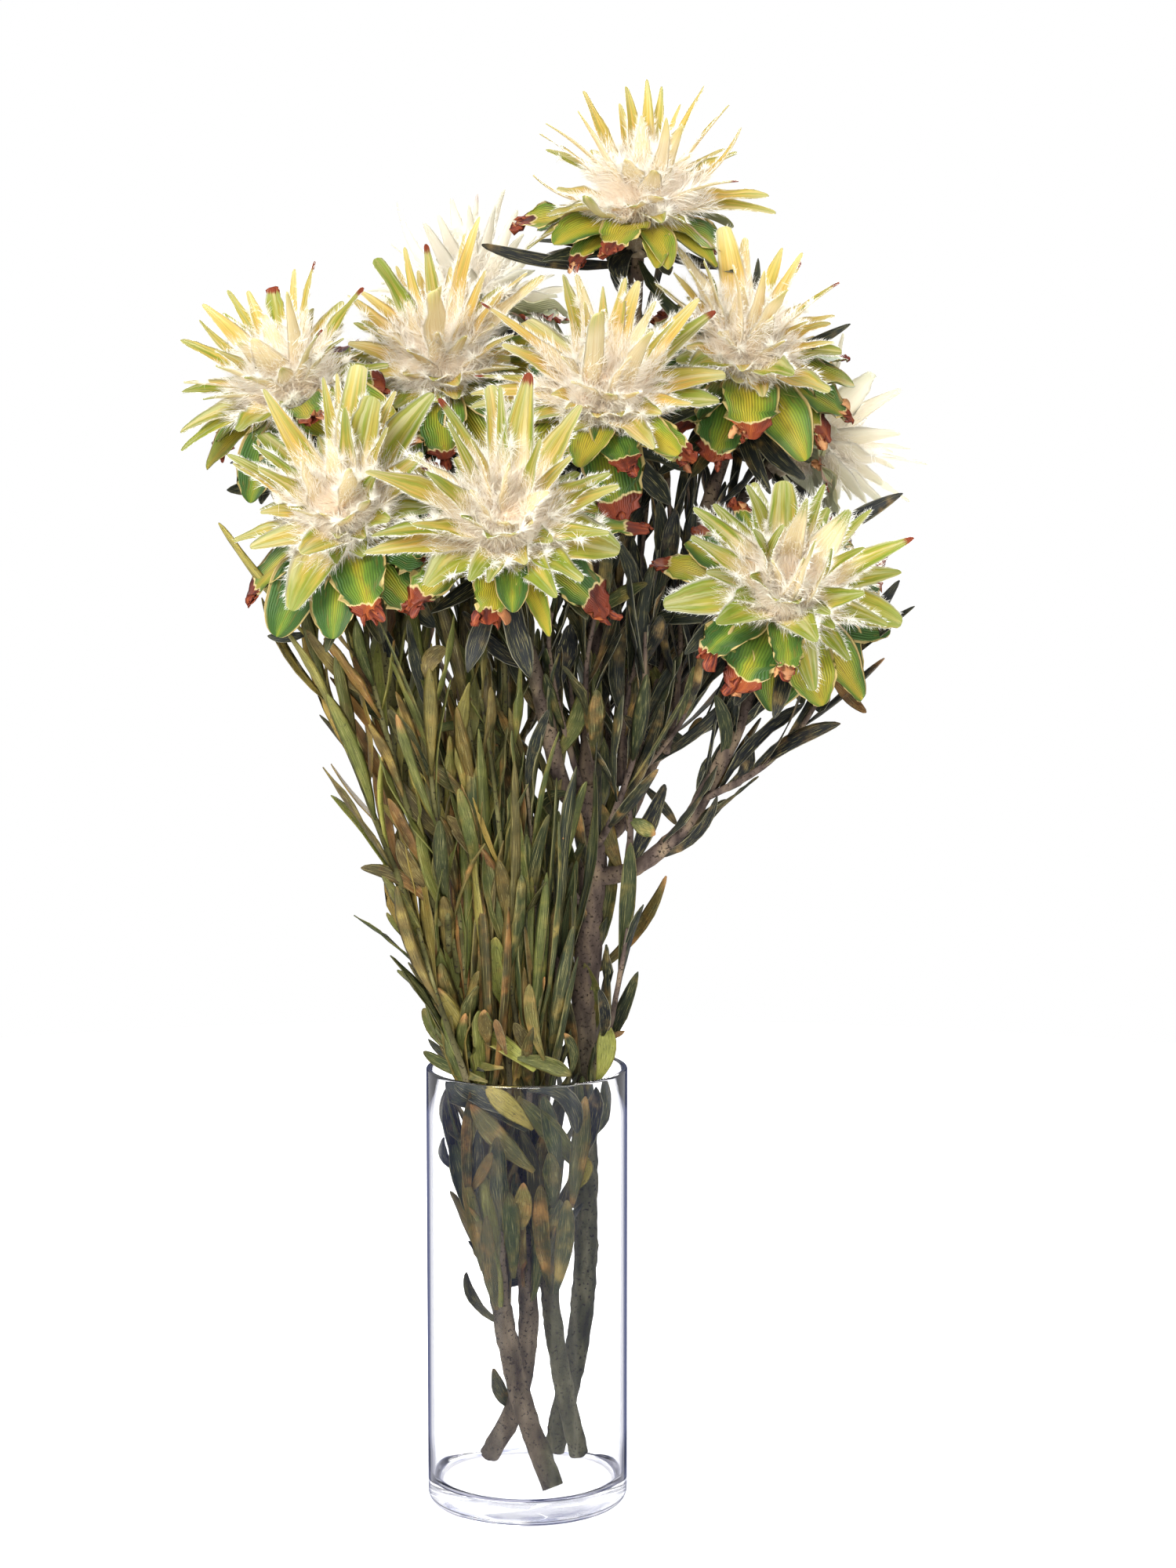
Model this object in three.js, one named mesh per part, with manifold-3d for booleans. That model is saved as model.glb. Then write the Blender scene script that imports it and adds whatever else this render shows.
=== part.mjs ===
// A bouquet of preserved protea flowers standing in a clear glass cylinder vase.
// Units are millimetres and +Z is up. The origin is the centre of the vase's flat foot, on the table.
// -Y is the bouquet's front and +X is on its right, seen from the front.

import * as THREE from "three";
import { mergeVertices } from "three/addons/utils/BufferGeometryUtils.js";
import Module from "manifold-3d";

const wasm = await Module();
wasm.setup();

// Clearance that pieces keep from each other where they touch.
const GAP = 0.3;

// Vase: a straight cylinder with a thick floor, a rounded heel and a rounded rim.
const VASE_RADIUS = 50;
const VASE_HEIGHT = 221;
const VASE_WALL = 3;
const VASE_FLOOR = 12;
const VASE_HEEL = 6;
const VASE_INNER_CORNER = 5;
const VASE_SEGMENTS = 40;
const ARC_STEPS = 2;

// Flower head, along its own axis: 0 is the middle of the woolly boss and minus is towards the stem.
const HEAD_BASE = -30;
const CUP_BASE_RADIUS = 5.5;
const CUP_TOP = -18.3;
const CUP_SWELL = -22;
const CUP_RADIUS = 10;
const CORE_RADIUS = 9;
const HOLE_RADIUS = 9.8; // the plates' hole, a polygon that clears the core at its flats
const BOSS_BASE = -4;
const BOSS_RADIUS = 14.5;
const BOSS_SHOULDER_RADIUS = 10;
const BOSS_SHOULDER = 9;
const BOSS_TOP = 12;
const HEAD_SEGMENTS = 10;
const NECK_RUN = 20; // the stretch of stem below the head that lies on the head's axis

// The two whorls of bracts. Each is a plate round the core, cut to a star of pointed blades that
// rise or droop by their own angle.
const PLATE = 2.4;
const PLATE_RADIUS = 14;
const VALLEY_RADIUS = 15;
const OUTER_WHORL = {
  name: "outer_bracts",
  bottom: CUP_TOP + GAP,
  blades: 8,
  kinds: [{ length: 52, width: 22, rise: -14, bend: -7 }],
};
const INNER_WHORL = {
  name: "inner_bracts",
  bottom: CUP_TOP + PLATE + 2 * GAP,
  blades: 12,
  kinds: [
    { length: 60, width: 13, rise: 20, bend: -2 },
    { length: 60, width: 11, rise: 50, bend: 3 },
  ],
};
const SHOULDER_SHARE = 0.45; // where along its length a blade is widest
const CLEAR_SHARE = 0.85; // how much of its own sector a short blade may fill where it is widest
const ROOT_SHARE = 0.5; // width of a blade's root against its widest place
const SHORTEST_BLADE = 14;
const SHORTEN = 0.85;
const BLADE_MARGIN = 1.5; // what a blade's tip keeps from the plane halfway to the next head
const STEM_MARGIN = 0.8; // what a blade keeps from the stems

// Heads: the middle of the boss, the side it faces (0 front, 90 right) and how high it looks.
const HEADS = [
  { number: 1, middle: [57, 30, 649], facing: 10, looking: 70 },
  { number: 2, middle: [-29, 105, 598], facing: 190, looking: 68 },
  { number: 3, middle: [-115, -5, 559], facing: -35, looking: 52 },
  { number: 4, middle: [-43, 20, 568], facing: -10, looking: 55 },
  { number: 5, middle: [38, -30, 554], facing: 5, looking: 45 },
  { number: 6, middle: [108, 20, 575], facing: 10, looking: 52 },
  { number: 7, middle: [-85, -60, 499], facing: -15, looking: 42 },
  { number: 8, middle: [-8, -85, 494], facing: 0, looking: 38 },
  { number: 9, middle: [125, -55, 462], facing: 12, looking: 30 },
  { number: 10, middle: [147, 85, 530], facing: 100, looking: 35 },
];

// Cut stems that stand on the vase's floor. Each is a centreline from its cut end up, and head is
// the head that it carries. A stem with no head ends in a fork.
const STEM_SIDES = 8;
const STEM_STEP = 34;
const STEMS = [
  {
    name: "stem_left",
    radii: [5.5, 3.4],
    line: [
      [13, -29, 0],
      [-4, -16, 60],
      [-14, -12, 112],
      [-19, -10, 168],
      [-24, -10, 207],
      [-32, -12, 247],
      [-46, -16, 312],
      [-60, -20, 381],
      [-70, -22, 430],
    ],
    head: 7,
  },
  {
    name: "stem_crossing",
    radii: [5.2, 3.2],
    line: [
      [-20, 23, 0],
      [-3, 10, 55],
      [0, 5, 108],
      [-7, 3, 184],
      [-18, 2, 244],
      [-35, 3, 323],
      [-51, 4, 381],
      [-67, 7, 439],
      [-84, 14, 485],
    ],
    head: 3,
  },
  {
    name: "stem_green",
    radii: [5, 3.4],
    line: [
      [26, 28, 0],
      [16, 18, 64],
      [11, 12, 106],
      [7, 8, 183],
      [-3, 10, 243],
      [-12, 18, 321],
      [-22, 27, 399],
      [-31, 38, 470],
    ],
    head: 4,
  },
  {
    name: "stem_trunk",
    radii: [5.8, 7.2],
    line: [
      [13, 36, 0],
      [23, 33, 59],
      [29, 28, 101],
      [29, 20, 201],
      [30, 10, 282],
      [33, 5, 315],
      [31, 2, 342],
      [30, 1, 362],
    ],
  },
];

// Branches: each starts on its parent's centreline and is shaped to the parent's bark.
const BRANCHES = [
  {
    name: "branch_leader",
    parent: "stem_trunk",
    radii: [4.5, 3.4],
    line: [
      [30, 1, 362.4],
      [32, 3, 399],
      [35, 7, 450],
      [36, 9, 490],
    ],
    head: 5,
  },
  {
    name: "branch_front",
    parent: "stem_trunk",
    radii: [4.6, 3.5],
    line: [
      [31, 2, 334],
      [20, -10, 356],
      [12, -22, 388],
      [4, -32, 422],
    ],
    head: 8,
  },
  {
    name: "branch_right",
    parent: "stem_trunk",
    radii: [4.2, 3.2],
    line: [
      [32, 7, 300],
      [50, 0, 317],
      [77, -5, 341],
      [92, -8, 367],
      [105, -8, 395],
    ],
    head: 9,
  },
  {
    name: "branch_back_right",
    parent: "stem_trunk",
    radii: [4.2, 3.2],
    line: [
      [32, 5, 316],
      [50, 24, 345],
      [74, 48, 395],
      [92, 66, 450],
    ],
    head: 10,
  },
  {
    name: "branch_upper_right",
    parent: "stem_trunk",
    radii: [4.2, 3.2],
    line: [
      [31, 2, 346],
      [46, 10, 368],
      [62, 24, 406],
      [86, 44, 484],
    ],
    head: 6,
  },
  {
    name: "branch_top",
    parent: "stem_trunk",
    radii: [4.4, 3.2],
    line: [
      [31, 2, 332],
      [32, 22, 362],
      [38, 44, 410],
      [48, 58, 490],
      [53, 56, 560],
    ],
    head: 1,
  },
  {
    name: "branch_back",
    parent: "stem_green",
    radii: [3.8, 3],
    line: [
      [-9.5, 15.8, 300],
      [-9, 38, 345],
      [-14, 66, 420],
      [-22, 84, 490],
    ],
    head: 2,
  },
];

// Leafy twigs: side shoots that carry most of the leaves.
const TWIG_RADII = [1.9, 1.2];
const TWIG_SIDES = 5;
const TWIG_STEP = 15;
const FEWEST_STEPS = 2;
const LEAF = { length: 40, width: 9, thickness: 1.2, rise: 32, bend: -3 };
const LEAF_SPACING = 22;
const LEAF_START = 24;
const LEAF_TURN = 137.5; // degrees between one leaf and the next, as leaves grow round a stem
const TWIGS = [
  {
    parent: "stem_left",
    line: [
      [-32, -12, 247],
      [-50, -30, 290],
      [-72, -40, 350],
      [-92, -44, 405],
      [-103, -42, 440],
    ],
  },
  {
    parent: "stem_crossing",
    line: [
      [-22, 2.2, 262],
      [-40, 20, 305],
      [-66, 26, 360],
      [-88, 30, 430],
      [-106, 36, 470],
    ],
  },
  {
    parent: "stem_left",
    line: [
      [-38, -13.7, 275],
      [-38, -40, 315],
      [-44, -56, 370],
      [-46, -62, 420],
    ],
  },
  {
    parent: "stem_green",
    line: [
      [-4, 10.8, 250],
      [-8, -12, 285],
      [-16, -30, 330],
      [-26, -42, 390],
      [-30, -50, 425],
    ],
  },
  {
    parent: "stem_trunk",
    line: [
      [31, 8, 295],
      [14, -16, 325],
      [-4, -26, 365],
      [-14, -36, 408],
    ],
  },
  {
    parent: "stem_trunk",
    line: [
      [32, 3.5, 326],
      [44, -22, 352],
      [56, -36, 395],
      [58, -40, 440],
    ],
  },
  {
    parent: "branch_right",
    line: [
      [84, -6.5, 354],
      [112, -30, 372],
      [132, -32, 392],
      [150, -20, 420],
    ],
  },
  {
    parent: "branch_back_right",
    line: [
      [60, 34, 367],
      [92, 40, 390],
      [116, 46, 430],
      [132, 46, 470],
    ],
  },
  {
    parent: "branch_back",
    line: [
      [-9.5, 46, 366],
      [6, 70, 400],
      [14, 90, 450],
      [18, 104, 505],
    ],
  },
  {
    parent: "stem_left",
    line: [
      [-21.5, -10, 188],
      [-31, -25, 225],
      [-43, -33, 262],
      [-52, -36, 296],
    ],
  },
  {
    parent: "stem_green",
    line: [
      [6.3, 8.2, 192],
      [-2, -16, 232],
      [-8, -28, 270],
      [-12, -34, 305],
    ],
  },
  {
    parent: "stem_trunk",
    line: [
      [29.1, 19.4, 206],
      [40, 2, 236],
      [46, -8, 268],
      [50, -12, 292],
    ],
  },
  {
    parent: "stem_crossing",
    line: [
      [-35, 3, 323],
      [-40, 30, 350],
      [-52, 56, 400],
      [-66, 76, 460],
    ],
  },
];

const GLASS_LOOK = { color: 0xf2f4fa, roughness: 0.05, metalness: 0, transparent: true, opacity: 0.35 };
const BARK_LOOK = { color: 0x5c4e43, roughness: 0.85, metalness: 0 };
const LEAF_LOOK = { color: 0x5b5f35, roughness: 0.7, metalness: 0 };
const OUTER_BRACT_LOOK = { color: 0x8dae3a, roughness: 0.6, metalness: 0 };
const INNER_BRACT_LOOK = { color: 0xefe6c4, roughness: 0.7, metalness: 0 };
const WOOL_LOOK = { color: 0xe9d3b8, roughness: 0.95, metalness: 0 };

const MERGE_TOLERANCE = 1e-4;
const TOUCHING_VOLUME = 1e-6;
const UP = new THREE.Vector3(0, 0, 1);
const radians = THREE.MathUtils.degToRad;

// A closed surface as a solid that can be joined and cut.
function solidOf(geometry) {
  const bare = geometry.clone();
  bare.deleteAttribute("normal");
  bare.deleteAttribute("uv");
  const merged = mergeVertices(bare, MERGE_TOLERANCE);
  return new wasm.Manifold(
    new wasm.Mesh({
      numProp: 3,
      vertProperties: merged.attributes.position.array,
      triVerts: merged.index.array,
    }),
  );
}

// The surface of a joined or cut solid.
function geometryOf(solid) {
  const mesh = solid.getMesh();
  const geometry = new THREE.BufferGeometry();
  geometry.setAttribute("position", new THREE.BufferAttribute(mesh.vertProperties, mesh.numProp));
  geometry.setIndex(new THREE.BufferAttribute(mesh.triVerts, 1));
  geometry.computeVertexNormals();
  return geometry;
}

function meshOf(name, geometry, look) {
  const mesh = new THREE.Mesh(geometry, new THREE.MeshStandardMaterial(look));
  mesh.name = name;
  return mesh;
}

function touches(a, b) {
  return a.intersect(b).volume() > TOUCHING_VOLUME;
}

// A profile of (radius, height) points turned round the Z axis.
function turned(profile, segments) {
  const geometry = new THREE.LatheGeometry(profile, segments);
  geometry.rotateX(Math.PI / 2);
  return geometry;
}

function vaseGeometry() {
  const inner = VASE_RADIUS - VASE_WALL;
  const lip = VASE_WALL / 2;
  const rim = VASE_HEIGHT - lip;
  const outline = new THREE.Path();
  outline.moveTo(0, 0);
  outline.lineTo(VASE_RADIUS - VASE_HEEL, 0);
  outline.absarc(VASE_RADIUS - VASE_HEEL, VASE_HEEL, VASE_HEEL, -Math.PI / 2, 0, false);
  outline.lineTo(VASE_RADIUS, rim);
  outline.absarc(VASE_RADIUS - lip, rim, lip, 0, Math.PI, false);
  outline.lineTo(inner, VASE_FLOOR + VASE_INNER_CORNER);
  outline.absarc(
    inner - VASE_INNER_CORNER,
    VASE_FLOOR + VASE_INNER_CORNER,
    VASE_INNER_CORNER,
    0,
    -Math.PI / 2,
    true,
  );
  outline.lineTo(0, VASE_FLOOR);
  return turned(outline.getPoints(ARC_STEPS), VASE_SEGMENTS);
}

// The swollen stem end, the core that the whorls sit on, and the woolly boss on top.
function receptacleGeometry() {
  const profile = [
    [0, HEAD_BASE],
    [CUP_BASE_RADIUS, HEAD_BASE],
    [CUP_RADIUS, CUP_SWELL],
    [CUP_RADIUS, CUP_TOP],
    [CORE_RADIUS, CUP_TOP],
    [CORE_RADIUS, BOSS_BASE],
    [BOSS_RADIUS, BOSS_BASE],
    [BOSS_SHOULDER_RADIUS, BOSS_SHOULDER],
    [0, BOSS_TOP],
  ];
  return turned(
    profile.map(([radius, height]) => new THREE.Vector2(radius, height)),
    HEAD_SEGMENTS,
  );
}

// A flat pointed blade along +X from the origin, its middle plane at Z = 0, bent up at the tip by bend.
function bladeGeometry(length, width, thickness, bend) {
  const half = width / 2;
  const shoulder = length * SHOULDER_SHARE;
  const outline = new THREE.Shape([
    new THREE.Vector2(0, -half * ROOT_SHARE),
    new THREE.Vector2(shoulder, -half),
    new THREE.Vector2(length, 0),
    new THREE.Vector2(shoulder, half),
    new THREE.Vector2(0, half * ROOT_SHARE),
  ]);
  const geometry = new THREE.ExtrudeGeometry(outline, { depth: thickness, bevelEnabled: false });
  geometry.translate(0, 0, -thickness / 2);
  const place = geometry.attributes.position;
  for (let i = 0; i < place.count; i += 1) {
    const share = place.getX(i) / length;
    place.setZ(i, place.getZ(i) + bend * share * share);
  }
  return geometry;
}

// A tapered round stem along a smooth curve through the points of its centreline.
function stemGeometry(line, radii, sides, step) {
  const points = line.map((point) => new THREE.Vector3(...point));
  const path = new THREE.CatmullRomCurve3(points, false, "centripetal");
  const steps = Math.max(FEWEST_STEPS, Math.round(path.getLength() / step));
  const [startRadius, endRadius] = radii;
  const outline = new THREE.Shape();
  outline.setFromPoints(
    Array.from({ length: sides }, (_, side) => {
      const angle = (side / sides) * 2 * Math.PI;
      return new THREE.Vector2(startRadius * Math.cos(angle), startRadius * Math.sin(angle));
    }),
  );
  const geometry = new THREE.ExtrudeGeometry(outline, { steps, extrudePath: path });
  const centres = path.getSpacedPoints(steps);
  const place = geometry.attributes.position;
  const vertex = new THREE.Vector3();
  for (let i = 0; i < place.count; i += 1) {
    vertex.fromBufferAttribute(place, i);
    const distances = centres.map((centre) => centre.distanceTo(vertex));
    const nearest = distances.indexOf(Math.min(...distances));
    const radius = THREE.MathUtils.lerp(startRadius, endRadius, nearest / steps);
    vertex.sub(centres[nearest]).multiplyScalar(radius / startRadius).add(centres[nearest]);
    place.setXYZ(i, vertex.x, vertex.y, vertex.z);
  }
  return geometry;
}

function placeHead(head) {
  const facing = radians(head.facing);
  const looking = radians(head.looking);
  const axis = new THREE.Vector3(
    Math.sin(facing) * Math.cos(looking),
    -Math.cos(facing) * Math.cos(looking),
    Math.sin(looking),
  );
  const group = new THREE.Group();
  group.name = `head_${head.number}`;
  group.position.set(...head.middle);
  group.quaternion.setFromUnitVectors(UP, axis);
  group.updateMatrixWorld(true);
  return group;
}

// Points of the stem just under a head, on the head's own axis.
function neckPoints(group) {
  return [HEAD_BASE - GAP - NECK_RUN, HEAD_BASE - GAP].map((height) =>
    group.localToWorld(new THREE.Vector3(0, 0, height)).toArray(),
  );
}

// The centreline's first point, lifted so that the tilted cut end rests just clear of the vase's floor.
function seated(line, radius) {
  const [first, second] = line;
  const lean = Math.hypot(second[0] - first[0], second[1] - first[1]);
  const tilt = Math.atan2(lean, second[2] - VASE_FLOOR);
  return [[first[0], first[1], VASE_FLOOR + GAP + radius * Math.sin(tilt)], ...line.slice(1)];
}

// How far a blade that starts at origin can run along direction before the plane halfway to another head.
function roomAlong(origin, direction, own, heads) {
  let room = Infinity;
  for (const other of heads) {
    if (other === own) continue;
    const across = other.position.clone().sub(own.position);
    const halfway = across.length() / 2 - BLADE_MARGIN;
    across.normalize();
    const speed = direction.dot(across);
    const left = halfway - origin.clone().sub(own.position).dot(across);
    if (speed > 0) room = Math.min(room, left / speed);
  }
  return room;
}

// The placing of a blade in its head's frame: out from the plate, raised by rise and turned by turn.
function bladeMatrix(rise, turn, height) {
  return new THREE.Matrix4()
    .makeRotationZ(turn)
    .multiply(new THREE.Matrix4().makeTranslation(PLATE_RADIUS, 0, height))
    .multiply(new THREE.Matrix4().makeRotationY(-radians(rise)));
}

// A bract's length: what its kind says, or less where another head or a stem is in its way.
function bractLength(kind, turn, height, group, heads, stems) {
  const world = group.matrixWorld.clone().multiply(bladeMatrix(kind.rise, turn, height));
  const origin = new THREE.Vector3().setFromMatrixPosition(world);
  const direction = new THREE.Vector3(1, 0, 0).transformDirection(world);
  const thickness = PLATE + 2 * STEM_MARGIN;
  let length = Math.min(kind.length, roomAlong(origin, direction, group, heads));
  while (length > SHORTEST_BLADE) {
    const probe = bladeGeometry(length, kind.width + 2 * STEM_MARGIN, thickness, kind.bend);
    if (!touches(solidOf(probe.applyMatrix4(world)), stems)) return length;
    length *= SHORTEN;
  }
  return SHORTEST_BLADE;
}

// A whorl: a star outline with a hole for the core, extruded and then lifted blade by blade.
function whorlGeometry(whorl, group, heads, stems) {
  const step = (2 * Math.PI) / whorl.blades;
  const blades = Array.from({ length: whorl.blades }, (_, i) => {
    const kind = whorl.kinds[i % whorl.kinds.length];
    const length = bractLength(kind, i * step, whorl.bottom + PLATE / 2, group, heads, stems);
    const reach = length * Math.cos(radians(kind.rise));
    const shoulder = PLATE_RADIUS + reach * SHOULDER_SHARE;
    const half = Math.min(kind.width / 2, shoulder * Math.tan(step / 2) * CLEAR_SHARE);
    return { kind, turn: i * step, reach, shoulder, half };
  });
  const corner = (radius, across, turn) =>
    new THREE.Vector2(radius, across).rotateAround(new THREE.Vector2(), turn);
  const star = new THREE.Shape(
    blades.flatMap(({ turn, reach, shoulder, half }) => [
      corner(VALLEY_RADIUS, 0, turn - step / 2),
      corner(shoulder, -half, turn),
      corner(PLATE_RADIUS + reach, 0, turn),
      corner(shoulder, half, turn),
    ]),
  );
  const holeStep = (2 * Math.PI) / HEAD_SEGMENTS;
  const hole = new THREE.Path();
  hole.setFromPoints(
    Array.from({ length: HEAD_SEGMENTS }, (_, i) => corner(HOLE_RADIUS, 0, -i * holeStep)),
  );
  star.holes.push(hole);
  const geometry = new THREE.ExtrudeGeometry(star, { depth: PLATE, bevelEnabled: false });
  geometry.translate(0, 0, whorl.bottom);
  const place = geometry.attributes.position;
  for (let i = 0; i < place.count; i += 1) {
    const beyond = Math.hypot(place.getX(i), place.getY(i)) - PLATE_RADIUS;
    if (beyond <= VALLEY_RADIUS - PLATE_RADIUS + MERGE_TOLERANCE) continue;
    const angle = Math.atan2(place.getY(i), place.getX(i)) + 2 * Math.PI;
    const { kind, reach } = blades[Math.round(angle / step) % whorl.blades];
    const share = beyond / reach;
    place.setZ(i, place.getZ(i) + beyond * Math.tan(radians(kind.rise)) + kind.bend * share * share);
  }
  return geometry;
}

// A twig's bare stalk, shaped to its parent's bark.
function stalkSolid(twig, radii, parentSolid) {
  return solidOf(stemGeometry(twig.line, radii, TWIG_SIDES, TWIG_STEP)).subtract(parentSolid);
}

// A stalk with leaves that grow forwards and outwards, each left off where it would meet another piece.
function leafyTwig(twig, stalk, others) {
  let joined = stalk;
  const path = new THREE.CatmullRomCurve3(
    twig.line.map((point) => new THREE.Vector3(...point)),
    false,
    "centripetal",
  );
  const length = path.getLength();
  let turn = 0;
  for (let along = LEAF_START; along < length; along += LEAF_SPACING) {
    turn += LEAF_TURN;
    const at = path.getPointAt(along / length);
    const frame = new THREE.Matrix4()
      .makeRotationFromQuaternion(
        new THREE.Quaternion().setFromUnitVectors(UP, path.getTangentAt(along / length)),
      )
      .setPosition(at)
      .multiply(new THREE.Matrix4().makeRotationZ(radians(turn)))
      .multiply(new THREE.Matrix4().makeRotationY(radians(LEAF.rise - 90)));
    const { width, thickness, bend } = LEAF;
    const wide = bladeGeometry(LEAF.length + GAP, width + 2 * GAP, thickness + 2 * GAP, bend);
    const room = solidOf(wide.applyMatrix4(frame));
    if (others.some((other) => touches(room, other))) continue;
    const leaf = bladeGeometry(LEAF.length, width, thickness, bend);
    joined = joined.add(solidOf(leaf.applyMatrix4(frame)));
  }
  return joined;
}

// The same stem a little thicker, which is what its neighbours keep clear of.
function grown(radii) {
  return radii.map((radius) => radius + GAP);
}

const bouquet = new THREE.Group();
bouquet.name = "protea_bouquet";
bouquet.add(meshOf("vase", vaseGeometry(), GLASS_LOOK));

const headGroups = HEADS.map(placeHead);
const headOf = (number) => headGroups[HEADS.findIndex((head) => head.number === number)];
headGroups.forEach((group, i) => {
  group.add(meshOf(`receptacle_${HEADS[i].number}`, receptacleGeometry(), WOOL_LOOK));
  bouquet.add(group);
});

const stemSolids = new Map();
const keepClear = new Map();
for (const stem of STEMS) {
  const top = stem.head ? neckPoints(headOf(stem.head)) : [];
  const line = seated([...stem.line, ...top], stem.radii[0]);
  stemSolids.set(stem.name, solidOf(stemGeometry(line, stem.radii, STEM_SIDES, STEM_STEP)));
  keepClear.set(stem.name, solidOf(stemGeometry(line, grown(stem.radii), STEM_SIDES, STEM_STEP)));
}
for (const branch of BRANCHES) {
  const line = [...branch.line, ...neckPoints(headOf(branch.head))];
  const whole = solidOf(stemGeometry(line, branch.radii, STEM_SIDES, STEM_STEP));
  stemSolids.set(branch.name, whole.subtract(keepClear.get(branch.parent)));
  keepClear.set(branch.name, solidOf(stemGeometry(line, grown(branch.radii), STEM_SIDES, STEM_STEP)));
}
for (const [name, solid] of stemSolids) bouquet.add(meshOf(name, geometryOf(solid), BARK_LOOK));

const allStems = [...keepClear.values()].reduce((joined, solid) => joined.add(solid));
headGroups.forEach((group, i) => {
  const { number } = HEADS[i];
  const outer = whorlGeometry(OUTER_WHORL, group, headGroups, allStems);
  const inner = whorlGeometry(INNER_WHORL, group, headGroups, allStems);
  group.add(meshOf(`${OUTER_WHORL.name}_${number}`, outer, OUTER_BRACT_LOOK));
  group.add(meshOf(`${INNER_WHORL.name}_${number}`, inner, INNER_BRACT_LOOK));
});

bouquet.updateMatrixWorld(true);
const placed = [];
bouquet.traverse((object) => {
  if (object.isMesh) placed.push(solidOf(object.geometry.clone().applyMatrix4(object.matrixWorld)));
});
const stalks = TWIGS.map((twig) => stalkSolid(twig, TWIG_RADII, keepClear.get(twig.parent)));
const clearOfStalks = TWIGS.map((twig) =>
  stalkSolid(twig, grown(TWIG_RADII), keepClear.get(twig.parent)),
);
TWIGS.forEach((twig, i) => {
  const others = [...placed, ...clearOfStalks.filter((_, other) => other !== i)];
  const solid = leafyTwig(twig, stalks[i], others);
  placed.push(solid);
  bouquet.add(meshOf(`leafy_twig_${i + 1}`, geometryOf(solid), LEAF_LOOK));
});

export default bouquet;
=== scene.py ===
"""The looks of a preserved protea bouquet in a clear cylinder vase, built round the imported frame.

The file is laid out as an add-on and is run as a script. Lengths are metres, and MM is a millimetre.
+Z is up, -Y is the bouquet's front and +X is on its right seen from the front.
"""

import math
from typing import NamedTuple

import bpy
import numpy as np
from bpy.props import FloatProperty, FloatVectorProperty, IntProperty, PointerProperty
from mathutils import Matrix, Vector


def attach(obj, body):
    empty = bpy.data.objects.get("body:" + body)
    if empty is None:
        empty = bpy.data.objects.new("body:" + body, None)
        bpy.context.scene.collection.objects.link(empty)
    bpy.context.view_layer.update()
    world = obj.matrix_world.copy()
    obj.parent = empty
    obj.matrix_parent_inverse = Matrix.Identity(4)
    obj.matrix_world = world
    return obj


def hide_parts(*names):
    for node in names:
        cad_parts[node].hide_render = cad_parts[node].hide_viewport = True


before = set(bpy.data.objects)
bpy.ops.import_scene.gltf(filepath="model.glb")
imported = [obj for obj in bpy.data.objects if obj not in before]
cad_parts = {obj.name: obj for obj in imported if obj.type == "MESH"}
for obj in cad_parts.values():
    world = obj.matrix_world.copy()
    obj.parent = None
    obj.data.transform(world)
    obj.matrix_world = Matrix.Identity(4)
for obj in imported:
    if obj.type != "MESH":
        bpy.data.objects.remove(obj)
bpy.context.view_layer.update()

bl_info = {
    "name": "Preserved protea bouquet",
    "version": (1, 0, 0),
    "blender": (4, 5, 0),
    "location": "3D View > Sidebar > Bouquet",
    "description": "Dresses the bouquet's frame with bracts, wool, leaves, bark and glass",
    "category": "Add Mesh",
}

MM = 0.001
SEED = 7

# The camera as worked out from the rim and foot of the vase in the picture.
PICTURE_WIDTH = 1500
PICTURE_HEIGHT = 2000
FOCAL_PIXELS = 4525
CAMERA_PLACE = np.array([30.4, -1733.0, 570.0]) * MM
CAMERA_DROP = math.atan(0.12)
SENSOR_MM = 36.0
FORWARD = np.array([0.0, math.cos(CAMERA_DROP), -math.sin(CAMERA_DROP)])
UPWARD = np.array([0.0, math.sin(CAMERA_DROP), math.cos(CAMERA_DROP)])
RIGHTWARD = np.array([1.0, 0.0, 0.0])


class Kind(NamedTuple):
    """A kind of bract: where it sits on the head's axis, how it points, and its outline."""

    seat: float  # along the axis from the boss's middle, mm
    ring: float  # out from the axis, mm
    length: float  # mm
    rise: float  # degrees above the plane across the axis
    width: float  # mm
    belly: float  # where along the length it is widest
    root: float  # width at the root against the widest
    point: float  # width at the tip against the widest
    sharp: float  # 1 tapers straight, more keeps its width longer
    cup: float  # how far the edges lift, against the width
    bow: float  # how far the middle arches over, against the length
    thick: float  # mm
    felt: float  # share of the length that is felted
    green: float  # 0 cream, 1 green
    hairs: int  # on both edges
    fluff: int  # hairs on the felt


KINDS = {
    "crown": Kind(6, 2, 20, 66, 9, 0.25, 0.9, 0.18, 1.2, 0.3, 0.03, 1.4, 1.0, 0.0, 150, 200),
    "scale": Kind(3, 7, 36, 54, 16, 0.2, 0.9, 0.14, 1.15, 0.14, 0.05, 1.2, 1.0, 0.05, 420, 560),
    "inner": Kind(0, 9.5, 58, 44, 13.5, 0.16, 0.9, 0.16, 1.35, 0.18, 0.03, 0.8, 0.45, 0.25, 500, 230),
    "mid": Kind(-3, 10.5, 58, 20, 14, 0.18, 0.9, 0.18, 1.4, 0.18, 0.04, 0.8, 0.36, 0.4, 480, 190),
    "low": Kind(-6, 11, 55, 5, 15, 0.25, 0.85, 0.2, 1.6, 0.16, 0.05, 0.8, 0.25, 0.65, 320, 80),
    "outer": Kind(-11, 9, 62, -13, 29, 0.42, 0.5, 0.2, 2.2, 0.14, 0.07, 0.6, 0.0, 1.0, 0, 0),
}
OUTER_WIDER = 1.15  # the tips' table gives widths near the tips

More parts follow.
